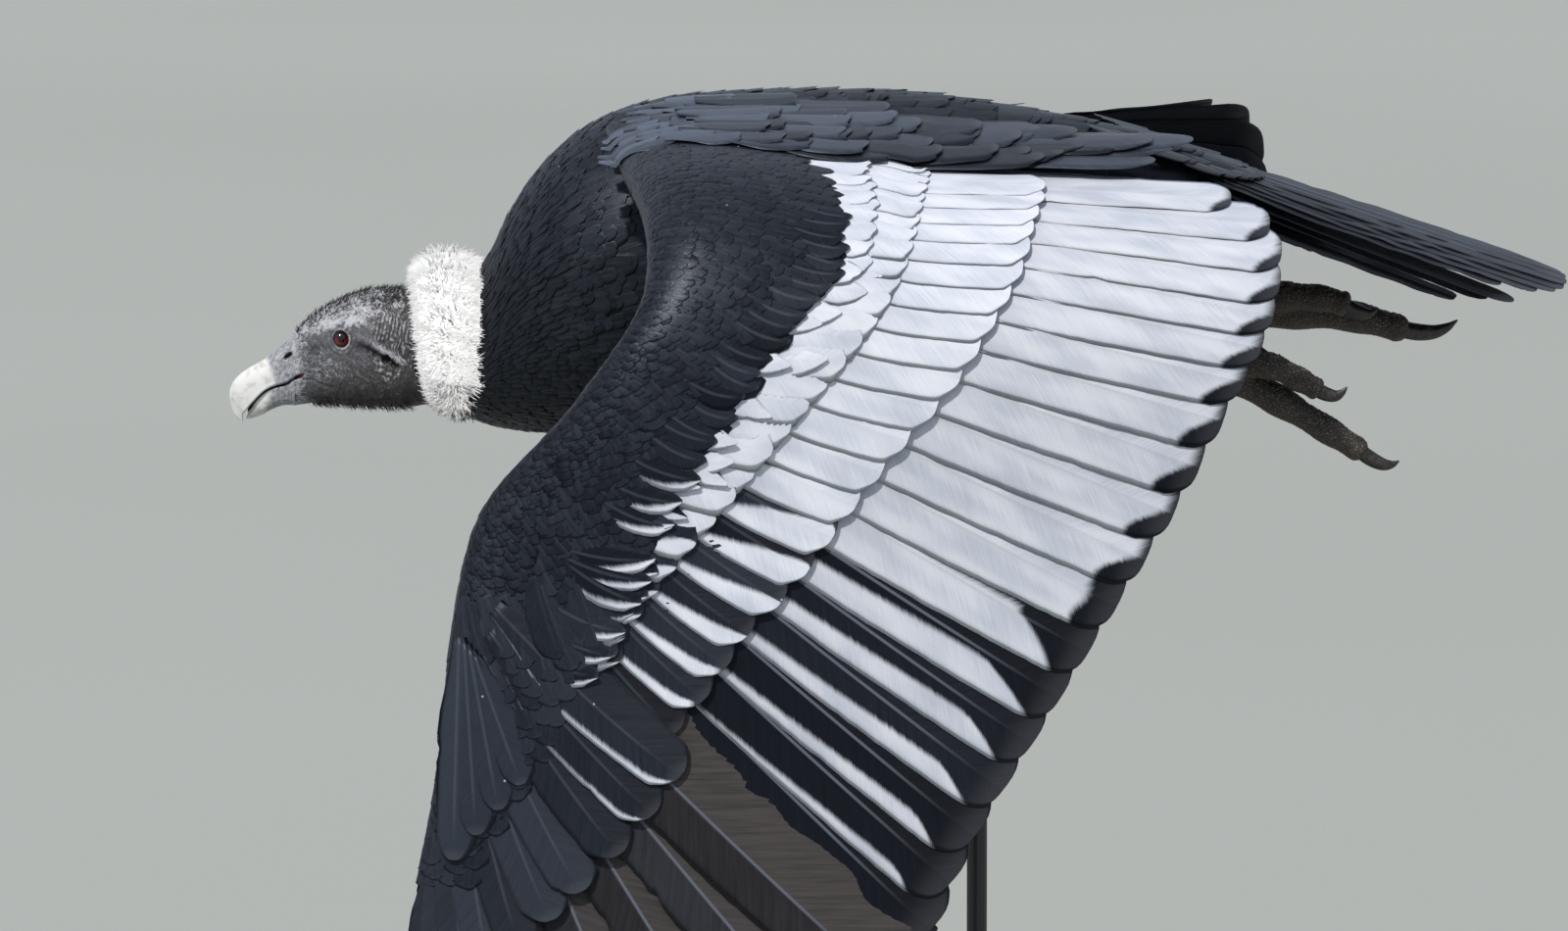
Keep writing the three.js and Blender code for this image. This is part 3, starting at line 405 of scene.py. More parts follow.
# Grows closed thin vanes in a flat layout. plumes holds one array each: root, turn from +x, length,
# width and how each vane lies. The sections follow the barbs, so a split in the edge runs along them.
def growVanes(plumes, straight, curved, columns, seed, mark=None, markedBelow=False):
    count = len(plumes["length"])
    dice = np.random.default_rng(seed)

    def value(key, default, dims=1):  # one number a vane, in a shape of that many dimensions
        numbers = np.broadcast_to(np.asarray(plumes.get(key, default), float), (count,))
        return numbers.reshape(count, *[1] * (dims - 1))

    length, width, lead = value("length", 40), value("width", 20), value("lead", 0.5)
    roundShare = np.clip(value("tipRound", 0.5) * width / length, 0.05, 0.6)[:, None]
    ahead = np.linspace(0, 1, straight + 1)[None] * (1 - roundShare)
    bend = np.linspace(0, math.pi / 2, curved + 1)[None, 1:]
    t = np.concatenate([ahead, 1 - roundShare + roundShare * np.sin(bend)], 1)
    cap = np.concatenate([np.ones_like(ahead), np.maximum(np.cos(bend), 0.05) * np.ones_like(roundShare)], 1)
    share = mix(value("base", 0.3, 2), 1, smoothStep(0, 0.36, t))
    share = share * (1 - value("taper", 0.16, 2) * smoothStep(0.4, 1, t)) * cap ** value("blunt", 0.8, 2)
    share = share * (1 - value("finger", 0, 2) * smoothStep(0.38, 0.58, t))

    stations = t.shape[1]
    at = t[..., None]
    ragged = value("ragged", 0.03, 3)
    wear = dice.random((count, stations, 2))
    isSplit = dice.random((count, stations, 2)) < value("splits", 0.04, 3)
    edge = 1 - ragged * wear - 4 * ragged * (isSplit * dice.random((count, stations, 2)))
    edge[:, :2] = 1
    s = np.asarray(columns, float)
    half = np.where(s < 0, (width * (1 - lead))[:, None], (width * lead)[:, None])[:, None]
    frayed = np.where(s < 0, edge[..., :1], edge[..., 1:])
    off = s * half * share[..., None] * mix(1, frayed, np.abs(s) ** 3)
    shaft = value("shaft", 1.2, 3) * (1 - 0.82 * at)
    besideShaft = np.sign(s) * np.minimum(shaft / 2, np.abs(half * share[..., None]))
    off = np.where(np.abs(s) < 0.1, besideShaft, off)

    slant = 0.75 * smoothStep(0, 0.2, t) * (1 - smoothStep(0.8, 1, t))
    reach = length[:, None, None] * at + slant[..., None] * np.abs(off)
    along = heading(value("turn", 0))[:, None, None]
    aside = along[..., ::-1] * [-1, 1]
    bow = value("bow", 0, 2) * 4 * t * (1 - t)
    spot = along * reach[..., None] + aside * (bow[..., None] + off)[..., None]
    spot[..., 1] *= value("stretch", 1, 3)
    spot += np.asarray(plumes["root"], float)[:, None, None]

    across = np.abs(off) / np.maximum(half, 1)
    level = value("level", 0, 2) + value("rise", 0, 2) * t
    curl = dice.normal(0, 1, (count, 1)) * value("loose", 0, 2) * t**2
    h = (level + curl)[..., None] + value("tilt", 0, 3) * off - value("cup", 0, 3) * across**2
    ridge = value("ridge", 0.25, 3) * (1 - 0.7 * at) * (np.abs(s) < 0.01)
    wave = reach / 9 + dice.random((count, 1, 1)) * 6 + 2 * np.sin(reach / 31 + np.sign(s))
    ripple = value("ripple", 0, 3) * across * np.sin(wave)
    thick = value("thick", 0.5, 3) * mix(1, 0.25, across) / 2
    top = np.concatenate([spot, (h + ridge + ripple + thick)[..., None]], -1)
    low = np.concatenate([spot, (h - ridge + ripple - thick)[..., None]], -1)[:, 1:-1, 1:-1]
    points = np.concatenate([top.reshape(count, -1, 3), low.reshape(count, -1, 3)], 1)

    upper, lower = vaneFaces(stations, len(s))
    reverse = [0, 3, 2, 1]
    sources = np.concatenate([upper, upper[:, reverse]])  # where each corner's numbers are kept
    shift = np.arange(count)[:, None, None] * points.shape[1]
    quads = np.concatenate([upper, lower[:, reverse]])[None] + shift

    luck = dice.random((count, 1, 1))
    full = np.ones_like(off)
    marks = noWhite * full
    if mark:
        toTip = length[:, None, None] * (1 - at) * full
        marks = mark(np.arange(count)[:, None, None], s * full, at * full, toTip)
    shade = np.clip(value("shade", 0.5, 3) + (dice.random((count, 1, 1)) - 0.5) * 0.7, 0, 1)
    kept = {
        "lay": [off, reach - np.abs(off), luck * full * 100],
        "vane": [s * full, at * full, marks],
        "tone": [shade * full, value("brown", 0, 3) * full, 0 * full],
    }
    corners = {}
    for name, numbers in kept.items():
        numbers = np.stack(numbers, -1).reshape(count, -1, 3)
        corners[name] = numbers[:, sources.ravel()].reshape(count, -1, 4, 3)
    isTop = np.repeat([True, False], len(upper))
    if not markedBelow:
        corners["vane"][:, ~isTop, :, 2] = noWhite
    down, over = np.meshgrid(np.linspace(0, 1, stations), (s + 1) / 2, indexing="ij")
    patch = np.stack([over, down], -1).reshape(-1, 2)[sources.ravel()].reshape(-1, 4, 2)
    return {"points": points.reshape(-1, 3), "quads": quads.reshape(-1, 4), "corners": corners,
            "patch": patch, "isTop": isTop, "count": count, "bake": plumes.get("bake")}


patchSize = 0.003  # of a small feather on the bake map


def bakePatches(batch, turn, first, grid):  # where the corners of a batch lie on the bake map
    count = batch["count"]
    patch = np.broadcast_to(batch["patch"][None, :, turn], (count, *batch["patch"].shape)).copy()
    if batch["bake"] is not None:
        corner = np.clip(batch["bake"], 0, 1) * (1 - patchSize)
        return (patch * patchSize + corner[:, None, None]).reshape(-1, 2)
    # a large feather has a cell of its own, with its upper side left and its lower side right
    patch[..., 0] = patch[..., 0] * 0.46 + np.where(batch["isTop"], 0.02, 0.52)[None, :, None]
    patch[..., 1] = patch[..., 1] * 0.96 + 0.02
    cell = first + np.arange(count)
    corner = np.stack([cell % grid, cell // grid], -1) / grid
    return (patch / grid + corner[:, None, None]).reshape(-1, 2)


def plumagePiece(name, batches, places, finish, *nodes):
    total = sum(batch["count"] for batch in batches)
    grid = math.ceil(math.sqrt(total))
    points, quads, bake, outward = [], [], [], []
    corners = {"lay": [], "vane": [], "tone": []}
    start, number = 0, 0
    for batch, place in zip(batches, places):
        placed = place(batch["points"])
        turned = facingOut(placed, batch["quads"])
        turn = slice(None) if turned is batch["quads"] else slice(None, None, -1)
        away = unit(place(batch["points"] + [0, 0, 1]) - placed)[turned]
        facing = np.where(np.tile(batch["isTop"], batch["count"]), 1, -1)
        outward.append((away * facing[:, None, None]).reshape(-1, 3))
        for key in corners:
            corners[key].append(batch["corners"][key][:, :, turn].reshape(-1, 3))
        bake.append(bakePatches(batch, turn, number, grid))
        points.append(placed)
        quads.append(turned + start)
        start += len(placed)
        number += batch["count"]
    mesh = meshOf(name, np.concatenate(points), np.concatenate(quads))
    for key, values in corners.items():
        setNumbers(mesh, key, np.concatenate(values), "CORNER")
    setNumbers(mesh, "outward", np.concatenate(outward), "CORNER")
    setBakeMap(mesh, np.concatenate(bake))
    addPiece(name, mesh, finish, "plumage", *nodes)
    print(name, "feathers", total, "faces", len(mesh.polygons))


fineColumns = (-1, -0.78, -0.52, -0.26, -0.05, 0, 0.05, 0.26, 0.52, 0.78, 1)
plainColumns = (-1, -0.62, -0.3, 0, 0.3, 0.62, 1)
smallColumns = (-1, -0.5, 0, 0.5, 1)
thinColumns = (-1, 0, 1)


# Finishes of the plumage

plumageSetup = {
    "ink": (0.003, 0.0036, 0.006), "inkPale": (0.034, 0.041, 0.057), "brown": (0.066, 0.057, 0.053),
    "chalk": (0.75, 0.77, 0.83), "chalkGrey": (0.5, 0.535, 0.62), "chalkSoil": (0.56, 0.52, 0.49),
    "fringe": (0.1, 0.1, 0.108), "speck": (0.5, 0.5, 0.5), "shaft": (0.12, 0.135, 0.17),
    "shaftPale": (0.42, 0.42, 0.42), "sheen": (0.74, 0.84, 1, 1),
}
# The last share in the flight and covert looks darkens their white: a painted shade, deeper on the flight
# feathers than on the coverts.
plumageLooks = {
    "flight feathers": {"fringe": 0.25, "shaft": 0.8, "soft": 0.6, "gloss": 0.15, "pale": 0.68, "litWhite": 0.8},
    "covert feathers": {
        "fringe": 0.25, "shaft": 0.2, "soft": 0.65, "specks": 0.015, "pale": 0.8, "litWhite": 0.92,
    },
    # The shoulder feathers' paler ink, raised far above the others, is a painted sheen of the sun on them.
    "shoulder feathers": {
        "fringe": 0.25, "shaft": 0.3, "soft": 0.5, "gloss": 0.35, "specks": 0.01, "roughness": 0.36,
        "hair": 0.3, "pale": 2.6,
    },
    "body feathers": {
        "fringe": 0.1, "shaft": 0.05, "soft": 0.85, "gloss": 0.28, "specks": 0.012, "roughness": 0.38,
        "hair": 0.75, "pale": 0.58,
    },
}


def scaled(colour, factor):
    return tuple(factor * part for part in colour)


def plumageFinish(name, fringe, shaft, soft, gloss=0.2, specks=0, roughness=0.42, hair=0, pale=1, litWhite=1):
    c = plumageSetup
    paint = Paint(name, IOR=1.5, Sheen_Weight=0.04, Sheen_Roughness=0.4, Specular_IOR_Level=gloss)
    for socket in ("Sheen Tint", "Specular Tint"):
        paint.shader.inputs[socket].default_value = c["sheen"]
    off, barb, seed = paint.attribute("lay")
    s, t, mark = paint.attribute("vane")
    shade, brown, _ = paint.attribute("tone")

    def streaks(a, b, detail=2, rough=0.6):  # noise drawn out along the barbs
        return paint.cloud(paint.join(paint.times(barb, a), paint.times(off, b), seed), 1, detail, rough)

    fine, coarse, broad = streaks(1.1, 0.05), streaks(0.2, 0.022), streaks(0.02, 0.05, 1, 0.5)
    edge = paint.calc("MAXIMUM", paint.calc("ABSOLUTE", s), t)
    dark = paint.plus(paint.times(shade, 0.62), paint.times(paint.plus(fine, coarse), 0.2))
    if hair:
        strands = paint.cloud(paint.join(paint.times(off, 1.3), paint.times(barb, 0.07), seed), 1, 2, 0.6)
        dark = paint.plus(dark, paint.times(paint.minus(strands, 0.5), hair))
    ink = paint.blend(paint.step(dark, 0.15, 0.95), c["ink"], scaled(c["inkPale"], pale))
    inner = paint.step(s, 0.12, -0.06, (0.3, 1))
    together = paint.plus(paint.times(coarse, 0.6), paint.times(fine, 0.4))
    barbs = paint.step(together, 0.3, 0.68, (0.55, 1))
    ink = paint.blend(paint.times(paint.times(brown, inner), barbs), ink, c["brown"])
    ink = paint.blend(paint.times(paint.step(edge, 0.93, 1.0), fringe), ink, c["fringe"])
    grey = paint.plus(paint.times(fine, 0.5), paint.times(broad, 0.75))
    # The white is darkened by that share: painted shade, as on a wing turned away from the sun.
    chalk = paint.blend(paint.step(grey, 0.4, 0.92), scaled(c["chalk"], litWhite), scaled(c["chalkGrey"], litWhite))
    chalk = paint.blend(paint.step(broad, 0.62, 0.8, (0, 0.22)), chalk, c["chalkSoil"])
    shaftMask = paint.minus(1, paint.step(paint.calc("ABSOLUTE", off), 0.7, 1.5))
    shaftMask = paint.times(shaftMask, paint.times(paint.step(t, 0.97, 0.7), shaft))
    ink = paint.blend(shaftMask, ink, c["shaft"])
    chalk = paint.blend(paint.times(shaftMask, 0.5), chalk, c["shaftPale"])
    fray = paint.times(paint.minus(paint.plus(paint.times(coarse, 0.5), fine), 0.75), 4)
    white = paint.step(paint.plus(mark, fray), -3.2, 2.2)
    colour = paint.blend(white, ink, chalk)
    if specks:
        dots = paint.cells(paint.place(), 120).node
        drawn = paint.node("ShaderNodeSeparateXYZ", (0, dots.outputs["Color"]))
        near = paint.step(dots.outputs["Distance"], 0.16, 0.07)
        dot = paint.times(near, paint.calc("GREATER_THAN", drawn, 1 - specks))
        colour = paint.blend(paint.times(dot, 0.8), colour, c["speck"])
    rough = paint.plus(paint.times(white, 0.22), paint.plus(paint.times(coarse, 0.2), roughness - 0.1))
    ridges = paint.plus(paint.times(fine, 0.5), strands if hair else coarse)
    lie = paint.softNormal(soft)
    return paint.feed(Base_Color=colour, Roughness=rough, Normal=paint.bump(ridges, 0.35, 0.0006, lie))


finishes = [plumageFinish(name, **looks) for name, looks in plumageLooks.items()]
flightFinish, covertFinish, shoulderFinish, coatFinish = finishes
print("plumage finishes ready")


# Wing feathers, laid out as the solids are: spans outwards, x backwards

trailingEdge = [
    (110, 306), (134, 326), (177, 354), (234, 356), (288, 348), (331, 335), (387, 311),
    (443, 282), (496, 250), (554, 214), (632, 166), (719, 112), (776, 86), (835, 50),
]
rootLine = [
    (100, -14), (200, -18), (262, -24), (305, -52), (350, -92), (410, -142),
    (460, -190), (500, -222), (530, -240),
]
greaterTips = [
    (150, 178), (216, 166), (245, 162), (292, 144), (343, 118), (373, 98), (403, 72),
    (451, 34), (518, -16), (559, -56), (592, -76), (640, -116),
]
medianTips = [
    (90, 92), (160, 86), (245, 74), (292, 58), (336, 30), (382, -6), (440, -52), (512, -112), (560, -146),
]
whiteFront = [  # where the black coverts end and the white panel begins
    (60, 30), (98, 15), (134, -1), (202, 16), (245, 18), (283, 10), (324, -23), (347, -38), (384, -64),
    (418, -82), (451, -104), (488, -122), (518, -132), (555, -150), (610, -182), (660, -214), (735, -264),
]
primaryFan = [  # number from the wrist, direction in degrees, length
    (0, 44, 428), (1, 50, 452), (2, 57.5, 486), (3, 66.5, 520), (4, 73, 552),
    (5, 79.5, 588), (6, 86, 612), (7, 91.5, 618), (8, 96.5, 590), (9, 101, 516),
]
featherFlow = [(0, 2), (112, 3), (300, 17), (420, 36), (500, 48), (560, 62), (640, 76), (735, 86)]
remexLevel = -5.5


def fromTo(roots, tips):
    step = np.asarray(tips, float) - roots
    turn, length = np.arctan2(step[:, 1], step[:, 0]), np.hypot(step[:, 0], step[:, 1])
    return {"root": roots, "turn": turn, "length": length}


def linePoints(table, spans):
    return np.stack([tableAt(table, spans), spans], -1)


secondarySetup = {"count": 20, "tips": (128, 808), "roots": (112, 500)}
stripeStart = [  # number from the body, share of the vane where the white begins
    (0, -3), (10.5, -3), (11.5, -0.9), (12, -0.15), (13, 0.16), (14, 0.32), (15, 0.44), (16, 0.54),
    (17, 0.68), (18, 0.8), (18.6, 1.3), (19, 1.4),
]
tipDepth = [(0, 15), (2, 18), (4, 24), (7, 29), (11, 33), (14, 40), (17, 52), (19, 60)]


# A mark is over zero where a vane is white: i is the vane's number, s and t are the place on it, and
# toTip is the length that is left to its tip.
def secondaryMark(i, s, t, toTip):
    widening = 0.34 * smoothStep(11.4, 13, i) * (1 - smoothStep(0.1, 0.95, t))
    stripe = (s - tableAt(stripeStart, i) - widening) * 32
    outer = smoothStep(10, 13, i)
    slant = mix(0.25 + 1.2 * smoothStep(-0.1, 1, s), 0.5 + 1.7 * np.maximum(0, 1 - s) ** 1.3, outer)
    return np.minimum(stripe, (toTip - tableAt(tipDepth, i) * slant) * 0.5)


def secondaries():
    i = np.arange(secondarySetup["count"])
    share = i / (len(i) - 1)
    roots = linePoints(rootLine, mix(*secondarySetup["roots"], share**0.84))
    tips = linePoints(trailingEdge, mix(*secondarySetup["tips"], share**0.97))
    return fromTo(roots, tips) | {
        "width": mix(76, 74, share), "lead": 0.42, "level": remexLevel, "tilt": 0.038, "cup": 0.4,
        "shaft": 4.2, "ridge": 0.9, "thick": 0.7, "tipRound": 0.42, "blunt": 0.62, "taper": 0.12,
        "ragged": 0.025, "splits": 0.02, "ripple": 0.35, "bow": 3, "shade": 0.12, "brown": 0.06,
        "base": 0.45,
    }


def primaries():
    i = np.arange(len(primaryFan))
    share = i / (len(primaryFan) - 1)
    roots = np.stack([mix(-240, -276, share), mix(530, 702, share)], -1)
    return {
        "root": roots, "turn": np.radians(tableAt(primaryFan, i, 1)), "length": tableAt(primaryFan, i, 2),
        "width": mix(104, 58, share**0.6), "lead": mix(0.32, 0.34, share),
        "level": remexLevel + 5 - 6.4 * share**0.5, "tilt": mix(0.09, 0.15, share), "cup": 2, "shaft": 5,
        "ridge": 1.6, "thick": 0.8, "finger": 0.4 * (i > 2), "tipRound": 0.5, "blunt": 0.8, "taper": 0.15,
        "bow": 6, "base": 0.4, "ragged": 0.03, "splits": 0.03, "ripple": 0.9, "shade": 0.36,
        "brown": mix(1, 0.6, share),
    }


covertCount = {"greater": 22, "median": 28, "upper": 34}


def greaterMark(i, s, t, toTip):
    share = i / (covertCount["greater"] - 1)
    starts = [(0, -3), (0.5, -3), (0.6, -0.9), (0.72, 0), (0.84, 0.42), (0.93, 0.62), (1, 0.76)]
    start = tableAt(starts, share)
    swing = tableAt([(0, 0), (0.5, 0), (0.62, 2.2), (0.8, 1.1), (1, 0.55)], share)
    rim = tableAt([(0, -9), (0.74, -9), (0.84, 2), (0.92, 6), (1, 10)], share)
    return np.minimum((s - start - swing * (0.85 - t)) * 28, toTip - rim * (1.5 - 0.9 * s))


def greaterCoverts():
    share = np.linspace(0, 1, covertCount["greater"])
    roots = linePoints(rootLine, mix(128, 506, share**0.86)) - [2, 0]
    tips = linePoints(greaterTips, mix(132, 652, share))
    return fromTo(roots, tips) | {
        "width": mix(60, 48, share), "lead": 0.45, "level": 1, "rise": 0.2, "tilt": 0.034, "cup": 0.2,
        "shaft": 2, "tipRound": 0.55, "blunt": 0.75, "ragged": 0.02, "splits": 0, "ripple": 0.3, "bow": 5,
        "loose": 0.25, "shade": 0.3, "brown": 0.1,
    }


def medianMark(i, s, t, toTip):
    share = i / (covertCount["median"] - 1)
    start = tableAt([(0, -3), (0.6, -3), (0.72, -0.9), (0.85, 0.3), (1, 0.66)], share)
    return (s - start - tableAt([(0, 0), (0.6, 0), (0.75, 2), (1, 0.6)], share) * (0.85 - t)) * 22


def medianCoverts():
    share = np.linspace(0, 1, covertCount["median"])
    roots = linePoints(rootLine, mix(108, 506, share**0.9)) - [14, 0]
    tips = linePoints(medianTips, mix(100, 572, share))
    return fromTo(roots, tips) | {
        "width": mix(42, 36, share), "level": 0.8, "rise": 2.6, "tilt": 0.038, "cup": 0.2, "tipRound": 0.7,
        "blunt": 0.9, "ragged": 0.03, "splits": 0.01, "ripple": 0.25, "bow": 4, "loose": 0.4, "shade": 0.3,
    }


def upperMedians():
    share = np.linspace(0, 1, covertCount["upper"])
    spans = mix(92, 566, share)
    wild = smoothStep(0.3, 0.5, share) * smoothStep(0.95, 0.8, share)  # wispy along the middle of the wing
    dice = np.random.default_rng(41)
    tips = np.stack([mix(tableAt(whiteFront, spans), tableAt(medianTips, spans), 0.5), spans], -1)
    tips = tips + dice.normal(0, 1.6, tips.shape) * (1 + 3 * wild[:, None])
    swing = dice.normal(0, 1, len(spans)) * mix(3, 8, wild)
    turn = np.radians(tableAt(featherFlow, spans) * mix(1, 0.6, share) + swing)
    length = mix(64, 60, share)
    return {
        "root": tips - length[:, None] * heading(turn), "turn": turn, "length": length,
        "width": mix(33, 27, share) - 5 * wild, "level": 0.6, "rise": 4.6, "tilt": 0.04, "cup": 0.3,
        "tipRound": mix(0.95, 1.6, wild), "blunt": 1, "taper": mix(0.16, 0.5, wild), "ragged": 0.05,
        "splits": 0.02, "ripple": 0.2, "bow": 4, "loose": 0.5 + wild, "shade": 0.3,
    }


def upperMark(i, s, t, toTip):
    share = i / (covertCount["upper"] - 1)
    start = tableAt([(0, -3), (0.62, -3), (0.74, -0.7), (0.84, 0.3), (1, 0.8)], share)
    return (s - start - tableAt([(0, 0), (0.62, 0), (0.76, 1.6), (1, 0.6)], share) * (0.9 - t)) * 16


def edgeCoverts():  # the last black coverts over the white panel, with white along their outer edges
    spans = np.concatenate([np.arange(225, 430, 11.0), np.arange(436, 590, 19.0)])
    outer = smoothStep(400, 440, spans)
    dice = np.random.default_rng(43)
    tips = np.stack([tableAt(whiteFront, spans) + mix(10, 6, smoothStep(236, 590, spans)), spans], -1)
    tips = tips + dice.normal(0, 2.2, tips.shape)
    flow = tableAt(featherFlow, spans) * mix(1, 0.4, smoothStep(300, 520, spans))
    turn = np.radians(flow + dice.normal(0, 4, len(spans)))
    length = dice.uniform(0.9, 1.1, len(spans)) * mix(52, mix(68, 80, smoothStep(440, 500, spans)), outer)
    return {
        "root": tips - length[:, None] * heading(turn), "turn": turn, "length": length,
        "width": dice.uniform(0.85, 1.1, len(spans)) * mix(22, 26, outer), "level": mix(1.4, 1, outer),
        "rise": mix(4.2, 5.4, outer), "tilt": 0.04, "cup": 0.3, "tipRound": 1.1,
        "blunt": 1.1, "ragged": 0.04, "splits": 0.03, "bow": 6, "loose": 0.4, "shade": 0.3, "taper": 0.3,
    }


def edgeMark(i, s, t, toTip):  # crescents that widen towards the tip
    start = tableAt([(0, 1.6), (17, 1.6), (19, 0.3), (21, 0.15), (24, 0.3), (28, 0.62)], i)
    return (s - start - (1.15 - start) * (1 - t)) * 13


def primaryCoverts():
    last = len(primaryFan) - 1
    share = np.arange(len(primaryFan)) / last
    fan = mix(0.2, 8.9, share)
    roots = np.stack([mix(-240, -276, fan / last), mix(530, 702, fan / last)], -1)
    turn = np.radians(tableAt(primaryFan, fan, 1) - 3)
    return {
        "root": roots, "turn": turn, "length": mix(188, 150, share), "width": mix(50, 36, share),
        "lead": 0.45, "level": 3.5, "rise": 1.5, "tilt": 0.08, "cup": 0.8, "shaft": 2.6, "ridge": 0.5,
        "tipRound": 0.6, "ragged": 0.02, "splits": 0.02, "bow": 4, "shade": 0.62, "brown": 0.1,
    }


def primaryCovertMark(i, s, t, toTip):
    start = tableAt([(0, 0.76), (1, 0.84), (2, 1.2), (9, 1.5)], i)
    return np.minimum((s - start - 0.35 * (0.8 - t)) * 24, toTip - 5)


def alula():
    i = np.arange(4)
    roots = np.stack([-268 + 4.0 * i, 556 + 5.0 * i], -1)
    tips = np.stack([-272 + 17.0 * i, 724 - 19.0 * i], -1)
    return fromTo(roots, tips) | {
        "width": 36 - 1.5 * i, "level": 7 - 0.5 * i, "rise": 1.5, "tilt": 0.08, "cup": 1, "shaft": 2.2,
        "ridge": 0.5, "tipRound": 0.9, "ragged": 0.04, "splits": 0.04, "shade": 0.75, "lead": 0.42,
    }


# The shoulder feathers lie over the wing root, the last and longest ones over the innermost secondaries
shoulderRows = [  # x of the tips at the body and out on the wing, last span, width, length, number
    (-104, -118, 98, 26, 46, 9), (-84, -100, 100, 30, 52, 8), (-62, -80, 102, 34, 58, 8),
    (-38, -58, 104, 38, 66, 7), (-10, -32, 106, 43, 76, 7), (22, 0, 108, 48, 90, 6),
    (58, 36, 108, 52, 106, 6), (98, 76, 106, 56, 126, 5), (142, 122, 96, 58, 150, 5),
    (190, 166, 88, 58, 178, 4), (226, 214, 82, 54, 210, 4), (240, 262, 74, 46, 240, 3),
    (282, 294, 66, 44, 250, 2),
]
shoulderReach = {"left": (300, 1), "right": (130, 0.15)}  # how far back the tips reach, share of the lift


def shoulderFeathers(longest, lift, seed):
    made = {key: [] for key in ("root", "turn", "length", "width", "level", "shade")}
    dice = np.random.default_rng(seed)
    for row, (first, last, spanEnd, width, length, count) in enumerate(shoulderRows):
        share = (np.arange(count) + 0.2 + 0.6 * (row % 2) + dice.uniform(-0.2, 0.2, count)) / count
        spans = mix(-30 + 4 * row, spanEnd, share)
        tips = np.stack([np.minimum(mix(first, last, share), longest), spans], -1)
        tips += dice.normal(0, 1, (count, 2)) * [0.09 * length, 0.12 * width]
        turn = np.radians(dice.normal(-1, 4.5, count) * min(1, 60 / length) + mix(-3, 3, share))
        long = length * dice.uniform(0.9, 1.1, count)
        made["length"].append(long)
        made["root"].append(tips - long[:, None] * heading(turn))
        made["turn"].append(turn)
        made["width"].append(width * dice.uniform(1.02, 1.3, count))
        raised = 2 + 6.5 * smoothStep(0, 4, row) - 4 * smoothStep(5, 11, row)
        made["level"].append(lift * (raised * (1 - 0.5 * share**2) + dice.uniform(-0.4, 0.4, count)))
        # The front rows are paler: a painted sheen of the sun on the mantle.
        made["shade"].append(np.full(count, mix(0.62, 0.2, smoothStep(1, 8, row))))
    return {key: np.concatenate(values) for key, values in made.items()} | {
        "rise": 3.8 * lift, "tilt": 0.03, "cup": 2.4, "tipRound": 0.95, "blunt": 0.8, "ragged": 0.02,
        "splits": 0.01, "loose": 0.8, "ripple": 0.35, "brown": 0.04, "ridge": 0.3, "bow": 3,
    }


# Rows of small coverts from the leading edge back to the white panel, smallest in front
lesserSetup = {
    "rows": 32, "spans": (12, 600), "sizes": ((13, 4.6), (54, 24)), "level": (0.2, 1.8), "rise": (0.6, 1.8),
    "shade": (0.5, 0.3), "seed": 7,
}
handSetup = {
    "rows": 9, "spans": (574, 736), "sizes": ((26, 15), (56, 27)), "level": (1.4, 2.4), "rise": (1.4, 3.4),
    "shade": (0.5, 0.4), "seed": 6, "along": 92,
}
underSetup = {
    "rows": 11, "spans": (14, 742), "sizes": ((24, 13), (92, 44)), "level": (0.2, 3), "rise": (1.6, 4),
    "shade": (0.4, 0.4), "seed": 8,
}
coatDepth = 4  # from the outside of the feathers down to the skin


def skinRows(setup, reachAt, down, part=(0, 1)):
    dice = np.random.default_rng(setup["seed"])
    made = {}
    (frontLength, frontWidth), (rearLength, rearWidth) = setup["sizes"]
    for row in range(setup["rows"]):
        u = (row + 0.6) / setup["rows"]
        length, width = mix(frontLength, rearLength, u**0.9), mix(frontWidth, rearWidth, u**0.9)
        spans = [setup["spans"][0] + width * 0.25 * (row % 2)]
        while spans[-1] < setup["spans"][1]:
            spans.append(spans[-1] + width * 0.5)
        spans = np.array(spans) + dice.uniform(-0.15, 0.15, len(spans)) * width
        large = mix(1, 1.35, smoothStep(450, 590, spans))
        tips = np.stack([reachAt(spans) * u**1.12, spans], -1)
        tips[:, 0] += dice.normal(0, 0.1, len(spans)) * length
        flow = tableAt(featherFlow, spans)
        flow = mix(setup.get("along", flow), flow, smoothStep(0, 0.7, u))
        back = heading(np.radians(flow + dice.normal(0, 5, len(spans))))
        long = length * large * dice.uniform(0.9, 1.12, len(spans))
        level = mix(*setup["level"], u) + dice.uniform(-0.004, 0.004, len(spans)) * width
        if not part[0] <= u < part[1]:
            continue
        plumes = {
            "root": (tips - long[:, None] * back) * (down, 1),
            "turn": np.arctan2(back[:, 1], back[:, 0] * down), "length": long, "width": width * large,
            "level": level, "rise": mix(*setup["rise"], u) * np.sqrt(large),
            "shade": mix(*setup["shade"], u) + 0.25 * smoothStep(470, 600, spans),
            "cup": width * large * 0.02, "thick": np.full(len(spans), mix(0.18, 0.4, u)),
            "bake": np.stack([spans / 760, np.full(len(spans), u) * 0.9 + 0.03], -1),
        }
        for key, values in plumes.items():
            made.setdefault(key, []).append(values)
    return {key: np.concatenate(values) for key, values in made.items()} | {
        "tilt": 0.02, "tipRound": 1.15, "blunt": 0.95, "ragged": 0.02, "splits": 0.004, "loose": 0.08,
        "base": 0.5, "brown": 0.04,
    }


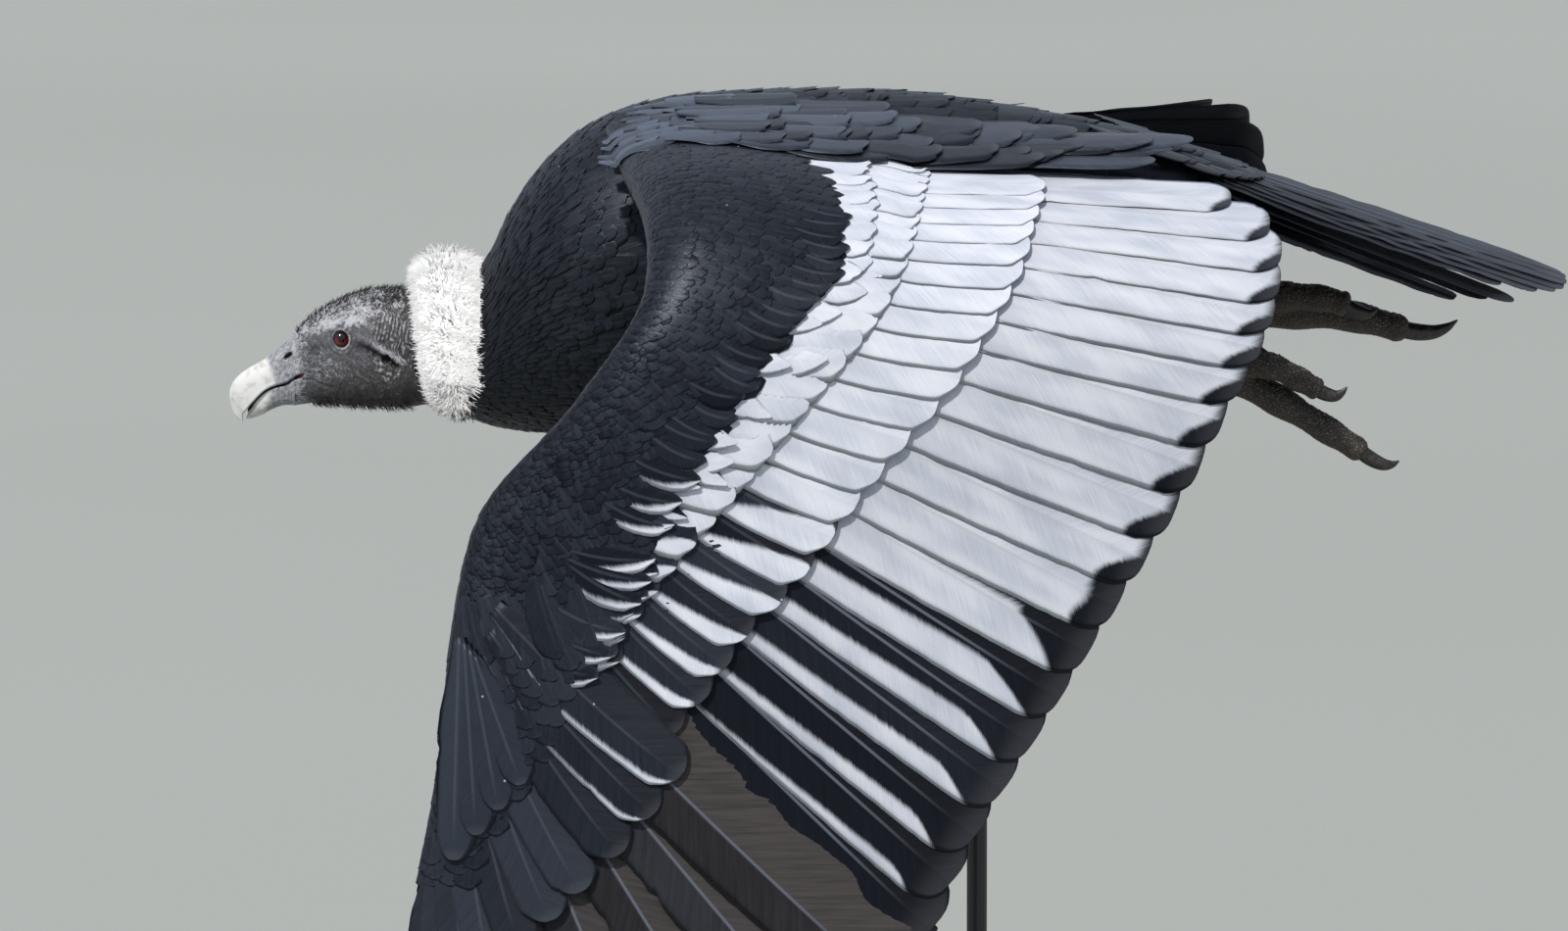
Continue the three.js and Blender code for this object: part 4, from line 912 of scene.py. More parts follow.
def wingFeathers(name, pose, seed):
    flat = bentWing(**pose)
    aroundSkin = wingSkin(flat, coatDepth)

    def onTop(layout):  # heights are over the fleshy wing
        x, l, h = layout[..., 0], layout[..., 1], layout[..., 2]
        bed = fleshHeight(x, l, False) - coatDepth * smoothStep(30, 0, x - tableAt(fleshRear, l))
        return flat(np.stack([x, l, h + bed], -1))

    def frontReach(l):
        return arcAt(tableAt(whiteFront, l), l) + 4

    def underReach(l):
        return arcAt(tableAt(fleshRear, l), l, True) + mix(70, 46, smoothStep(0, 735, l))

    def cover(part, finish, place, *batches):
        nodes = [f"wing_{name}_{length}" for length in ("arm", "forearm", "hand")]
        plumagePiece(f"wing_{name}_{part}", batches, [place] * len(batches), finish, *nodes)

    cover("flight_feathers", flightFinish, flat,
          growVanes(secondaries(), 40, 9, fineColumns, seed + 1, secondaryMark),
          growVanes(primaries(), 52, 9, fineColumns, seed + 2))
    cover("large_coverts", covertFinish, onTop,
          growVanes(greaterCoverts(), 24, 8, fineColumns, seed + 3, greaterMark, True),
          growVanes(medianCoverts(), 18, 7, plainColumns, seed + 4, medianMark, True),
          growVanes(upperMedians(), 14, 7, plainColumns, seed + 5, upperMark, True),
          growVanes(edgeCoverts(), 12, 6, plainColumns, seed + 5, edgeMark, True),
          growVanes(primaryCoverts(), 20, 8, fineColumns, seed + 6, primaryCovertMark),
          growVanes(alula(), 18, 7, plainColumns, seed + 7))
    cover("small_coverts", coatFinish, aroundSkin,
          growVanes(skinRows(lesserSetup, frontReach, 1, (0.5, 1)), 3, 3, smallColumns, seed + 8),
          growVanes(skinRows(handSetup, frontReach, 1), 8, 5, plainColumns, seed + 14))
    cover("fine_coverts", coatFinish, aroundSkin,
          growVanes(skinRows(lesserSetup, frontReach, 1, (0, 0.5)), 2, 3, thinColumns, seed + 11))
    cover("shoulder_feathers", shoulderFinish, onTop,
          growVanes(shoulderFeathers(*shoulderReach[name], seed), 12, 6, plainColumns, seed + 9))
    under = skinRows(underSetup, underReach, -1) | {"shade": 0.4, "brown": 0.3}
    cover("under_coverts", coatFinish, aroundSkin, growVanes(under, 3, 3, thinColumns, seed + 10))


wingSeeds = {"left": 100, "right": 200}
for name, pose in wingPoses.items():
    wingFeathers(name, pose, wingSeeds[name])


# Tail: twelve feathers in a low arched fan, with the coverts over and under their roots

tailSetup = {
    "x": 298, "z": 157, "pitch": 18.4, "roll": 6, "arch": 0.07, "spread": 11, "inside": 36, "length": 312,
}
tailShorter = [0, 2, 8, 22, 50, 80]
tailDrop = [(0, 0.3), (3, 0.9), (4, 1.8), (5, 22)]  # pair, how far its near feather lies lower


def tailPlace(layout):
    pitch, roll = math.radians(tailSetup["pitch"]), math.radians(tailSetup["roll"])
    p, q, h = layout[..., 0], layout[..., 1], layout[..., 2]
    lift = h - tailSetup["arch"] * (np.hypot(q, 20) - 20)
    out = q * math.cos(roll) - lift * math.sin(roll)
    up = q * math.sin(roll) + lift * math.cos(roll)
    return inFrame(np.stack([
        tailSetup["x"] + p * math.cos(pitch) + up * math.sin(pitch),
        out,
        tailSetup["z"] - p * math.sin(pitch) + up * math.cos(pitch),
    ], -1))


def tailFeathers():
    pair, side = np.divmod(np.arange(2 * len(tailShorter)), 2)
    side = side * 2 - 1
    turn = np.radians(mix(1.2, tailSetup["spread"], pair / pair[-1])) * side
    length = tailSetup["length"] + tailSetup["inside"] - np.array(tailShorter)[pair]
    return {
        "root": np.stack([0.0 * pair - tailSetup["inside"], side * (4 + 5 * pair)], -1), "turn": turn,
        "length": length,
        "width": 56, "level": -0.6 * pair - (side < 0) * tableAt(tailDrop, pair), "cup": 0.15,
        "shaft": 4, "ridge": 1, "thick": 0.8, "tipRound": 0.35, "blunt": 0.5, "ragged": 0.035,
        "splits": 0.07, "ripple": 0.5, "taper": 0.3, "shade": 0.42, "brown": 0.08, "base": 0.4,
    }


def shadowGapFeathers():  # painted shade: two long black feathers that fill the gap between the two outer feathers of the near side
    return {
        "root": np.array([[-36, -26.0], [-36, -26.0]]), "turn": np.radians([-10.6, -11.2]),
        "length": np.array([312, 292.0]), "width": 46, "level": np.array([-10, -14.5]), "rise": -2,
        "cup": 0.2, "tipRound": 0.5, "ragged": 0.05, "splits": 0.06, "shade": 0, "base": 0.5,
    }


def tailCoverts(level, lift, reach, seed):
    dice = np.random.default_rng(seed)
    rows, across = 3, 11
    row, place = np.divmod(np.arange(rows * across), across)
    middle = across // 2
    side = (place - middle) / middle + dice.normal(0, 0.04, len(row))
    length = reach - 2 - 5 * row + dice.normal(0, 3, len(row))
    tipP = reach - 34 * row - 30 * side**2
    return {
        "root": np.stack([tipP - length, side * 30], -1), "turn": np.radians(side * 11), "length": length,
        "width": 34, "level": level + lift * row, "rise": 4 * lift, "cup": 3 * lift, "tipRound": 0.8,
        "ragged": 0.06, "splits": 0.08, "shade": 0.12, "brown": 0.2,
    }


plumagePiece("tail_feathers", [
    growVanes(tailFeathers(), 44, 9, fineColumns, 301),
    growVanes(shadowGapFeathers(), 30, 8, plainColumns, 304),
    growVanes(tailCoverts(1, 0.4, 60, 31), 12, 6, plainColumns, 302),
    growVanes(tailCoverts(-25, -1, 96, 32), 12, 6, plainColumns, 303),
], [tailPlace] * 4, flightFinish, "tail")


# Body: one skin, and rows of feathers that lie back over it

def asBarrel(rows):  # from tops and bottoms to the rows of a barrel
    return [(x, 0, (top + low) / 2, (top - low) / 2, wide) for x, top, low, wide in rows]


bodyRows = [  # x, top and bottom over the body line, half width; from under the ruff to the rump
    (-325, 50, -43, 33), (-300, 49, -40, 38), (-275, 58, -51, 50), (-256, 79, -57.5, 61.5),
    (-240, 112, -61, 72), (-217, 146, -63.5, 86), (-186, 175, -65, 100), (-147, 194, -65, 110),
    (-101, 204, -63, 114), (-23, 208, -55, 113), (54, 208, -41, 105), (132, 200, -20, 92),
    (209, 186, 7, 76), (271, 171, 35, 60), (318, 155.5, 60, 45.5), (345, 143, 78, 36), (375, 126, 92, 24),
    (400, 112, 98, 10),
]
bodyPlace = barrel(asBarrel(bodyRows), 2.12)
legRows = [(70, 66, 5, 40, 26), (140, 68, -9, 38, 25), (200, 60, -5, 25, 19), (240, 52, 5, 14, 13)]
legRaise = {"left": 0, "right": 28}


def legBarrel(name):
    side = -1 if name == "left" else 1
    rows = []
    for i, (x, y, z, high, wide) in enumerate(legRows):
        rows.append((x, side * y, z + legRaise[name] * i / (len(legRows) - 1), high, wide))
    return barrel(rows)


def barrelRings(place, start, end, count, sides, h):
    around = np.arange(sides) / sides * 200 * math.pi
    x, angle = np.meshgrid(np.linspace(start, end, count), around, indexing="ij")
    return place(np.stack([x, angle, np.full_like(x, h)], -1))


def wingRings(pose, count):
    place = wingSkin(bentWing(**pose), coatDepth)
    l = np.linspace(-6, 733, count)[:, None]
    rear, rearUnder = arcAt(tableAt(fleshRear, l), l), arcAt(tableAt(fleshRear, l), l, True)
    share = np.linspace(0, 1, 15)[None]
    a = np.concatenate([rear * share, -rearUnder * share[:, :0:-1]], 1)
    return place(np.stack([a, l + 0 * a, 0 * a], -1))


def oneSkin(name, shells, voxel, rounds, share):  # joins closed rings to one skin and smooths it
    parts = []
    for n, rings in enumerate(shells):
        part = bpy.data.objects.new(f"{name}_{n}", meshOf(name, *skinOver(rings)))
        bpy.context.scene.collection.objects.link(part)
        parts.append(part)
    with bpy.context.temp_override(active_object=parts[0], selected_editable_objects=parts):
        bpy.ops.object.join()
    made = parts[0]
    remesh = made.modifiers.new("whole", "REMESH")
    remesh.mode = "VOXEL"
    remesh.voxel_size = voxel
    remesh.use_smooth_shade = True
    soften = made.modifiers.new("soft", "SMOOTH")
    soften.iterations = rounds
    soften.factor = share
    seen = made.evaluated_get(bpy.context.evaluated_depsgraph_get())
    mesh = bpy.data.meshes.new_from_object(seen)
    old = made.data
    bpy.data.objects.remove(made)
    bpy.data.meshes.remove(old)
    mesh.shade_smooth()
    return mesh


def bodySkin():
    shells = [barrelRings(bodyPlace, -322, 398, 60, 40, -coatDepth)]
    shells += [wingRings(pose, 50) for pose in wingPoses.values()]
    shells += [barrelRings(legBarrel(name), 72, 238, 20, 24, -coatDepth) for name in legRaise]
    return oneSkin("shell", shells, voxel=0.005, rounds=3, share=0.5)


def skinBake(mesh):  # an unwrap round the body's own long axis
    x, y, z = cornerPoints(mesh).T
    setBakeMap(mesh, np.stack([(np.arctan2(y, z - 0.97) / math.pi + 1) / 2, (x + 0.45) / 1.05], -1))


def underFinish():  # the dark down between the feathers
    paint = Paint("down under the feathers", Roughness=0.85)
    tufts = paint.cloud(paint.place(), 300, 3, 0.7)
    colour = paint.blend(tufts, (0.006, 0.006, 0.008), (0.03, 0.029, 0.03))
    return paint.feed(Base_Color=colour, Normal=paint.bump(tufts, 0.6, 0.001))


skinMesh = bodySkin()
skinBake(skinMesh)
addPiece("body_skin", skinMesh, underFinish(), "plumage", "torso", "neck", "leg_left", "leg_right")
print("body skin ready", len(skinMesh.polygons))

coatSizes = [  # x, length and width of the feathers there
    (-318, 15, 4), (-260, 17, 4.6), (-215, 20, 6), (-180, 25, 9), (-140, 34, 15), (-80, 44, 23), (60, 56, 31),
    (240, 60, 30), (390, 56, 25),
]
fineUntil = -178  # x where the neck's and breast's fine feathers give way to the back's larger ones


def coatRows(rows, start, end, sizes, seed, spacing=(0.36, 0.5)):
    dice = np.random.default_rng(seed)
    made = {key: [] for key in "root length width rise level cup stretch shade bake".split()}
    x = start
    row = 0
    while x < end:
        length, width = tableAt(sizes, x, 1), tableAt(sizes, x, 2)
        high, wide = tableAt(rows, x, 3), tableAt(rows, x, 4)
        radius = (high + wide) / 2
        count = max(7, int(2 * math.pi * radius / (width * spacing[1])))
        steps = np.arange(count) + 0.5 * (row % 2) + dice.uniform(-0.28, 0.28, count)
        angle = steps / count * 200 * math.pi
        tips = x + dice.normal(0, 0.12, count) * length
        long = length * dice.uniform(0.86, 1.14, count)
        made["root"].append(np.stack([tips - long, angle], -1))
        made["length"].append(long)
        made["width"].append(width * dice.uniform(0.85, 1.15, count))
        made["rise"].append(np.full(count, mix(1, 3.6, smoothStep(15, 56, length))))
        made["level"].append(-made["rise"][-1] * 0.5 + dice.uniform(-0.02, 0.02, count) * width - 0.8)
        made["cup"].append(np.full(count, width * 0.035))
        made["stretch"].append(np.full(count, 100 / radius))
        under = smoothStep(0.2, 0.9, np.abs(((angle / (100 * math.pi) + 1) % 2) - 1))
        # Darker under the body and paler over its top: painted shade from above. Darker also towards the
        # neck.
        made["shade"].append(mix(0.42, 0.18, under) - 0.5 * smoothStep(-170, -250, x))
        share = np.full(count, (x - start) / (end - start))
        made["bake"].append(np.stack([angle / (200 * math.pi) % 1, share], -1))
        x += length * spacing[0]
        row += 1
    return {key: np.concatenate(values) for key, values in made.items()}


def bodyCoat(start, end, seed, **more):
    coat = coatRows(asBarrel(bodyRows), start, end, coatSizes, seed)
    coat["turn"] = np.random.default_rng(seed).normal(0, 0.12, len(coat["length"]))
    return coat | {"tipRound": 0.9, "blunt": 0.95, "ragged": 0.06, "splits": 0.05, "loose": 0.3, "base": 0.5,
                   "thick": 0.3, "brown": 0.05} | more


neckVanes = growVanes(bodyCoat(-306, fineUntil, 51, thick=0.18), 3, 2, thinColumns, 53)
plumagePiece("neck_feathers", [neckVanes], [bodyPlace], coatFinish, "torso", "neck")
backVanes = growVanes(bodyCoat(fineUntil, 402, 52), 3, 3, smallColumns, 54)
plumagePiece("back_feathers", [backVanes], [bodyPlace], coatFinish, "torso")

legSizes = [(60, 44, 15), (140, 40, 13), (240, 26, 8)]
legLie = {
    "tipRound": 1.1, "blunt": 1.1, "ragged": 0.12, "splits": 0.15, "loose": 0.8, "base": 0.5, "thick": 0.35,
    "brown": 0.35,
}
legVanes = growVanes(coatRows(legRows, 84, 262, legSizes, 61) | legLie, 4, 3, smallColumns, 62)
for name in legRaise:
    plumagePiece(f"leg_{name}_feathers", [legVanes], [legBarrel(name)], coatFinish, f"leg_{name}")


# Head

headRows = [
    (-409.3, 14, -42, 17), (-403, 22, -41, 20), (-395, 29, -40, 23), (-384, 36, -41, 27),
    (-372, 42, -41.5, 30), (-360, 47, -42, 32), (-345, 50, -43, 33.5), (-325, 50, -43, 33.5),
    (-300, 48, -41, 34),
]
headSetup = {"from": -409.3, "to": -301, "rings": 236, "sides": 300, "square": 2.2}
eyeSetup = {"x": -371.8, "y": 20.9, "z": 12.6, "radius": 9, "openX": 5.5, "openZ": 5.9}
earSetup = {"from": (-357, 9), "to": (-328, -8), "hole": (-335.5, -3)}
skinColours = {
    "grey": (0.1, 0.1, 0.116), "pale": (0.44, 0.445, 0.475), "dark": (0.009, 0.009, 0.011),
    "brown": (0.066, 0.056, 0.051), "flesh": (0.5, 0.24, 0.2), "mouth": (0.012, 0.008, 0.01),
    "dampMouth": (0.05, 0.022, 0.024),
}


def hill(d, wide):  # one at d = 0, and falling off over the width on both sides
    return np.exp(-((d / wide) ** 2))


def fromLine(x, z, start, end):  # distance to a stretch of line, with its sign, and the share along it
    (x0, z0), (x1, z1) = start, end
    length = math.hypot(x1 - x0, z1 - z0)
    along = ((x - x0) * (x1 - x0) + (z - z0) * (z1 - z0)) / length
    beside = ((z - z0) * (x1 - x0) - (x - x0) * (z1 - z0)) / length
    past = along - np.clip(along, 0, length)
    return np.hypot(past, beside), beside, along / length


def grain(points, size, seed):  # smooth noise, one draw a point
    offset = Vector((seed * 7.3, seed * 3.1, seed * 1.7))
    drawn = [noise.noise(Vector(p) / size + offset) for p in points.reshape(-1, 3)]
    return np.array(drawn).reshape(points.shape[:-1])


def eyeDistance(x, z):
    return np.hypot((x - eyeSetup["x"]) / eyeSetup["openX"], (z - eyeSetup["z"]) / eyeSetup["openZ"])


def fromEar(x, z, big, mid):
    return fromLine(x, z + 1.6 * mid + 2 * big, earSetup["from"], earSetup["to"])


def overMouth(x, z):  # height over the line of the mouth
    return z - (-17.2 + 0.44 * (x + 404.6))


def napeShare(x, z, big):
    return smoothStep(-352, -338, x + 3 * big) * smoothStep(-22, 0, z)


faceFolds = [  # from and to, as x and z, and depth
    ((-404, -18), (-376, -27), 0.6), ((-402, -12.5), (-386, -14.5), 0.45), ((-400, -8), (-389, -10), 0.35),
    ((-398, 1), (-387, -1), 0.4), ((-364, -9), (-347, -19), 0.3), ((-360, -17), (-344, -27), 0.3),
    ((-354, 4), (-344, -7), 0.35), ((-392, 12), (-384, 4), 0.3), ((-366, 1), (-356, -5), 0.25),
]


def headRelief(points):
    x, y, z = points[..., 0], points[..., 1], points[..., 2]
    onSide = smoothStep(10, 16, np.abs(y))
    big, mid, small = grain(points, 11, 1), grain(points, 3.4, 2), grain(points, 1.3, 3)
    d = eyeDistance(x, z) + 0.14 * big + 0.05 * mid
    low = smoothStep(0.4, -0.5, (z - eyeSetup["z"]) / 6)
    relief = -4.2 * (1 - smoothStep(0.84, 1.02, d)) + 0.9 * hill(d - 1.2, 0.16) * mix(1.3, 0.8, low)
    relief += -0.5 * hill(d - 1.5, 0.14) + low * (0.3 * hill(d - 1.78, 0.16) - 0.4 * hill(d - 2.1, 0.16))
    brow = fromLine(x, z - 1.5 * big, (-385, 21), (-358, 24))[0]
    relief += 1.0 * hill(brow, 5) * (1 + mid)
    ear, beside, share = fromEar(x, z, big, mid)
    furrow = -2.4 * hill(ear, 1.5) * smoothStep(-0.1, 0.25, share)
    relief += furrow + 1.2 * hill(beside - 4.6, 2.4) * hill(share - 0.6, 0.5)
    knobs = hill(beside + 6, 4) * hill(share - 0.7, 0.4)
    relief += 2.2 * knobs * np.maximum(0, mid + 0.15)
    hole = np.hypot((x - earSetup["hole"][0]) / 4.2, (z - earSetup["hole"][1]) / 2.4)
    relief -= 3 * (1 - smoothStep(0.5, 1.2, hole + 0.5 * mid))
    for start, end, deep in faceFolds:
        fold, beside, share = fromLine(x, z + 2.4 * big + 0.8 * mid, start, end)
        banks = 0.4 * deep * hill(np.abs(beside) - 2.1, 1.1) * hill(share - 0.5, 0.5)
        relief -= deep * hill(fold, 1.0) - banks
    relief *= onSide
    relief -= 6 * hill(overMouth(x, z), 1.1) * smoothStep(-401, -404.5, x) * onSide
    phase = (x + 0.1 * z + 2.4 * np.sin(z / 6.5 + big * 2.5) + 5 * big + 0.7 * mid) / 3
    wrinkles = 0.42 * np.sin(2 * math.pi * phase) * (0.75 + mid) + 0.25 * mid
    relief += napeShare(x, z, big) * wrinkles
    throat = smoothStep(-16, -32, z) * smoothStep(-398, -380, x)
    relief += 0.4 * throat * np.sin((x + 6 * big) / 2.1) * (0.5 + mid)
    rough = mix(0.28, 0.75, smoothStep(14, 34, z)) * smoothStep(0.95, 1.5, d) * smoothStep(-409, -400, x)
    relief += rough * (0.6 * mid + 0.75 * small)
    return relief, big, mid


def headTones(points, relief, big, mid):
    x, z = points[..., 0], points[..., 2]
    d = eyeDistance(x, z)
    # Paler over the crown: painted light from above.
    crown = smoothStep(-3, 7, z - 13 - 0.27 * (x + 400) + 5 * big + 3 * mid)
    crown = crown * smoothStep(-334, -350, x + 6 * big)
    front = smoothStep(-394, -409, x + 3 * big)
    cheek = hill(np.hypot((x + 384) / 22, (z + 9) / 10), 1)
    pale = 0.12 + 0.62 * crown + 0.55 * front + 0.26 * cheek
    underEye = smoothStep(0.2, -0.9, (z - eyeSetup["z"]) / 6 - 0.12 * (x - eyeSetup["x"]))
    pale += 0.5 * hill(d - 1.28, 0.22) * underEye
    nape = napeShare(x, z, big)
    knobs = hill(np.hypot((x + 334) / 9, (z + 17) / 6), 1) * smoothStep(0, 0.25, mid)
    # On the nape the skin is paler where it stands out: painted light.
    pale += 0.42 * nape * smoothStep(-0.1, 0.35, relief) + 0.5 * knobs
    # Darker round the eye, most of all above it: painted shade of the lid and brow.
    lid = hill(d - 1.04, 0.16) * mix(0.9, 0.3, smoothStep(0.3, -0.6, (z - eyeSetup["z"]) / 6))
    lore = hill(np.hypot((x + 393) / 9, (z - 6) / 5) + 0.5 * mid, 0.8)
    # Its third term darkens the underside of the jaw: painted shade.
    dark = lid + 0.75 * lore + 0.6 * smoothStep(-16, -36, z + 4 * big) * smoothStep(-404, -388, x)
    behindEye = hill(np.hypot((x + 362) / 7, (z - 8) / 5), 1)
    # Its first term darkens the crease under the brow: painted shade.
    dark += 0.5 * hill(np.hypot((x + 377) / 8, (z - 19.5) / 3), 1) + 0.3 * behindEye
    ear = fromEar(x, z, big, mid)[0]
    # Darker in the nape's grooves and along the ear's furrow: painted shade.
    grooveShade = 0.45 * nape * smoothStep(0, -0.4, relief)
    dark += 0.85 * hill(ear, 2.8) + 0.35 * smoothStep(-330, -316, x) + grooveShade
    brown = smoothStep(4, -20, z) * smoothStep(-396, -366, x) + 0.25 + 0.5 * nape
    return np.stack([np.clip(pale, 0, 1), np.clip(dark, 0, 1), np.clip(brown + 0.5 * big, 0, 1)], -1)


def skinFinish():
    c = skinColours
    paint = Paint("bare head skin", Subsurface_Weight=0.08, Subsurface_Scale=0.003, Specular_IOR_Level=0.45)
    pale, dark, brown = paint.attribute("skinTone")
    high, mouth, _ = paint.attribute("skinForm")
    where = paint.place()
    speck = paint.cloud(where, 700, 3, 0.7)
    blot = paint.cloud(where, 200, 3, 0.6)
    mottle = paint.plus(paint.times(speck, 0.65), paint.times(blot, 0.35))
    # Paler where the skin stands out and darker in its hollows, from the relief: painted light and shade over
    # the mottling.
    value = paint.plus(paint.times(paint.minus(mottle, 0.5), 3), paint.times(high, 0.3))
    base = paint.blend(paint.times(brown, 0.7), c["grey"], c["brown"])
    base = paint.blend(paint.step(paint.plus(value, pale), 0.2, 1.0), base, c["pale"])
    base = paint.blend(paint.times(paint.step(value, 0, -0.5), 0.75), base, c["dark"])
    base = paint.blend(paint.times(dark, 0.85), base, c["dark"])
    base = paint.blend(mouth, base, c["flesh"])
    rough = paint.plus(paint.times(mottle, 0.3), 0.34)
    return paint.feed(Base_Color=base, Roughness=rough, Normal=paint.bump(mottle, 0.5, 0.0006))


def makeHead():
    h = headSetup
    stations = h["from"] + (h["to"] - h["from"]) * np.linspace(0, 1, h["rings"])
    around = np.arange(h["sides"]) / h["sides"] * 200 * math.pi
    x, angle = np.meshgrid(stations, around, indexing="ij")
    place = barrel(asBarrel(headRows), h["square"])
    flat = np.stack([x, angle, np.zeros_like(x)], -1)
    base = place(flat) / mm - [0, 0, bodyLevel]
    relief, big, mid = headRelief(base)
    inFront = smoothStep(h["from"], h["from"] + 2.3, x)
    flat[..., 2] = mix(np.minimum(relief, 0), relief, inFront)
    mesh = meshOf("head", *skinOver(place(flat)))
    mouth = overMouth(base[..., 0], base[..., 2])
    atCorner = smoothStep(-401.5, -403.5, base[..., 0]) * (1 - smoothStep(-405, -408, base[..., 0]))
    pink = 0.85 * hill(mouth, 1.1) * atCorner
    setNumbers(mesh, "skinTone", headTones(base, relief, big, mid).reshape(-1, 3))
    setNumbers(mesh, "skinForm", np.stack([relief, pink, 0 * pink], -1).reshape(-1, 3))
    lateralBake(mesh)
    addPiece("head_skin", mesh, skinFinish(), "head_skin", "head")


makeHead()
print("head ready")


# Bill: two horny halves, arched over the mouth and under it

upperBillRows = [  # upper x, z, lower x, z, half width
    (-409, 14, -409, -18.5, 16.9), (-418.5, 6.5, -416, -23, 15.2), (-430, -3, -425.5, -25.5, 13.6),
    (-440, -9, -433, -29.4, 12.6), (-449.5, -14.5, -439.5, -35.5, 11.4), (-457, -21.5, -445, -41.7, 9.6),
    (-461, -29.2, -448.7, -46.4, 7), (-461.2, -37.8, -450.3, -48, 4.6), (-458, -48.7, -451, -51, 2.6),
    (-451.6, -57.3, -451, -57.1, 0.5),
]
lowerBillRows = [
    (-409, -20.2, -409, -42, 16), (-416, -24.7, -418.5, -42, 13.6), (-425.5, -27.4, -428.5, -45.5, 11.8),
    (-433, -31.3, -436.3, -49.8, 10), (-439.5, -37.6, -443.2, -52.1, 7.8), (-443.6, -43.2, -447, -52.9, 5),
    (-446.6, -48, -448.4, -52.4, 1.6),
]
nostril = {"x": -414.2, "z": -1.6, "long": 4.3, "high": 2.1, "lean": 0.62}
hornColours = {
    "ivory": (0.75, 0.745, 0.725), "cere": (0.2, 0.2, 0.225), "cerePale": (0.42, 0.425, 0.46),
    "dark": (0.018, 0.016, 0.02), "stain": (0.33, 0.285, 0.235),
}


def hornFinish():
    c = hornColours
    looks = {"Subsurface_Weight": 0.1, "Subsurface_Scale": 0.004, "Coat_Weight": 0.25, "Coat_Roughness": 0.2}
    paint = Paint("bill horn", **looks)
    ivory, groove, shadedHollow = paint.attribute("hornTone")
    streaks = paint.cloud(paint.place(), 260, 3, 0.65)
    stain = paint.cloud(paint.place(), 90, 2, 0.6)
    cere = paint.blend(paint.step(streaks, 0.3, 0.7), c["cere"], c["cerePale"])
    # Darker in the cere's grooves: painted shade.
    cere = paint.blend(groove, cere, c["dark"])
    horn = paint.blend(paint.step(stain, 0.48, 0.75, (0, 0.75)), c["ivory"], c["stain"])
    edge = paint.step(paint.plus(ivory, paint.times(paint.minus(stain, 0.5), 1.1)), 0.3, 0.75)
    # The nostril and the inner faces of the halves are painted dark: painted shade.
    colour = paint.blend(shadedHollow, paint.blend(edge, cere, horn), c["dark"])
    rough = paint.minus(0.5, paint.times(edge, 0.2))
    return paint.feed(Base_Color=colour, Roughness=rough, Normal=paint.bump(streaks, 0.2, 0.0003))


def billHalf(rows, upper, stations=110, arch=61, inside=15):
    table = [(i, *row) for i, row in enumerate(rows)]
    share = np.linspace(0, 1, stations)
    at = share * (len(rows) - 1)
    topX, topZ, lowX, lowZ, wide = (tableAt(table, at, k)[:, None] for k in range(1, 6))
    turn = np.linspace(0, math.pi, arch)[None]
    across, lift = np.cos(turn), np.sin(turn)
    outX, outZ, inX, inZ = (topX, topZ, lowX, lowZ) if upper else (lowX, lowZ, topX, topZ)
    fullness = mix(0.8, 1.0, share)[:, None]
    y = wide * np.sign(across) * np.abs(across) ** mix(0.72, 1, share)[:, None]
    x, z = mix(inX, outX, lift**fullness), mix(inZ, outZ, lift**fullness)
    back = np.linspace(-1, 1, inside + 2)[1:-1][None]
    roof = 0.28 * (1 - back**2)
    y2, x2, z2 = wide * back * 0.96, mix(inX, outX, roof), mix(inZ, outZ, roof)
    points = np.stack([np.concatenate(pair, 1) for pair in ((x, x2), (y, y2), (z, z2))], -1)
    onOuter = np.concatenate([np.ones_like(y), np.zeros_like(y2)], 1)
    return points, onOuter, share[:, None] * np.ones_like(points[..., 0])


def makeBill(name, rows, upper, ivoryFrom):
    points, outer, share = billHalf(rows, upper)
    x, y, z = points[..., 0], points[..., 1], points[..., 2]
    big, small = grain(points, 7, 11), grain(points, 1.6, 12)
    line = x * 0.55 - z * 0.8 + 2.6 * big + 1.3 * np.sin(z / 3.3 + x / 4)
    ahead = -x - 0.35 * z if upper else -x + 0.3 * (z + 40)
    cereShare = smoothStep(ivoryFrom + 11, ivoryFrom - 8, ahead)
    groove = cereShare * outer * smoothStep(0.25, 0.95, np.sin(2 * math.pi * line / 2.3)) * 0.5
    inwards = 0.32 * groove + 0.16 * small * cereShare * outer
    shadedHollow = 0 * x
    if upper:
        cosine, sine = math.cos(nostril["lean"]), math.sin(nostril["lean"])
        u = (x - nostril["x"]) * cosine + (z - nostril["z"]) * sine
        v = -(x - nostril["x"]) * sine + (z - nostril["z"]) * cosine
        d = np.hypot(u / nostril["long"], v / nostril["high"])
        side = smoothStep(7, 11, np.abs(y))
        inwards += side * (4.5 * (1 - smoothStep(0.55, 1.05, d)) - 0.7 * hill(d - 1.35, 0.25))
        # The nostril's hollow is painted dark: painted shade.
        shadedHollow = side * (1 - smoothStep(0.7, 1.05, d))
    inwards -= 0.35 * smoothStep(0.18, 0.02, np.abs(z - points[:, :1, 2]) / 22) * outer
    fade = smoothStep(-408.9, -411, x) * smoothStep(1, 0.9, share)
    y = y - np.sign(y) * inwards * fade * smoothStep(0, 2, np.abs(y))
    # The inner faces, inside the mouth, are painted dark too: painted shade.
    shadedHollow = np.maximum(shadedHollow, 0.9 * (1 - outer))
    mesh = meshOf(name, *skinOver(inFrame(np.stack([x, y, z], -1))))
    setNumbers(mesh, "hornTone", np.stack([1 - cereShare, groove * fade, shadedHollow], -1).reshape(-1, 3))
    lateralBake(mesh)
    addPiece(name + "_horn", mesh, billFinish, "bill_horn", name)


billFinish = hornFinish()
makeBill("bill_upper", upperBillRows, True, 431)
makeBill("bill_lower", lowerBillRows, False, 429)


mouthRows = [  # x, z, half width, half height
    (-398, -13.5, 9, 2), (-406, -17.5, 13, 3), (-418, -23.3, 11.5, 3), (-430, -27.5, 10, 3),
    (-440, -36, 7.5, 3), (-447, -46, 2.5, 2),
]


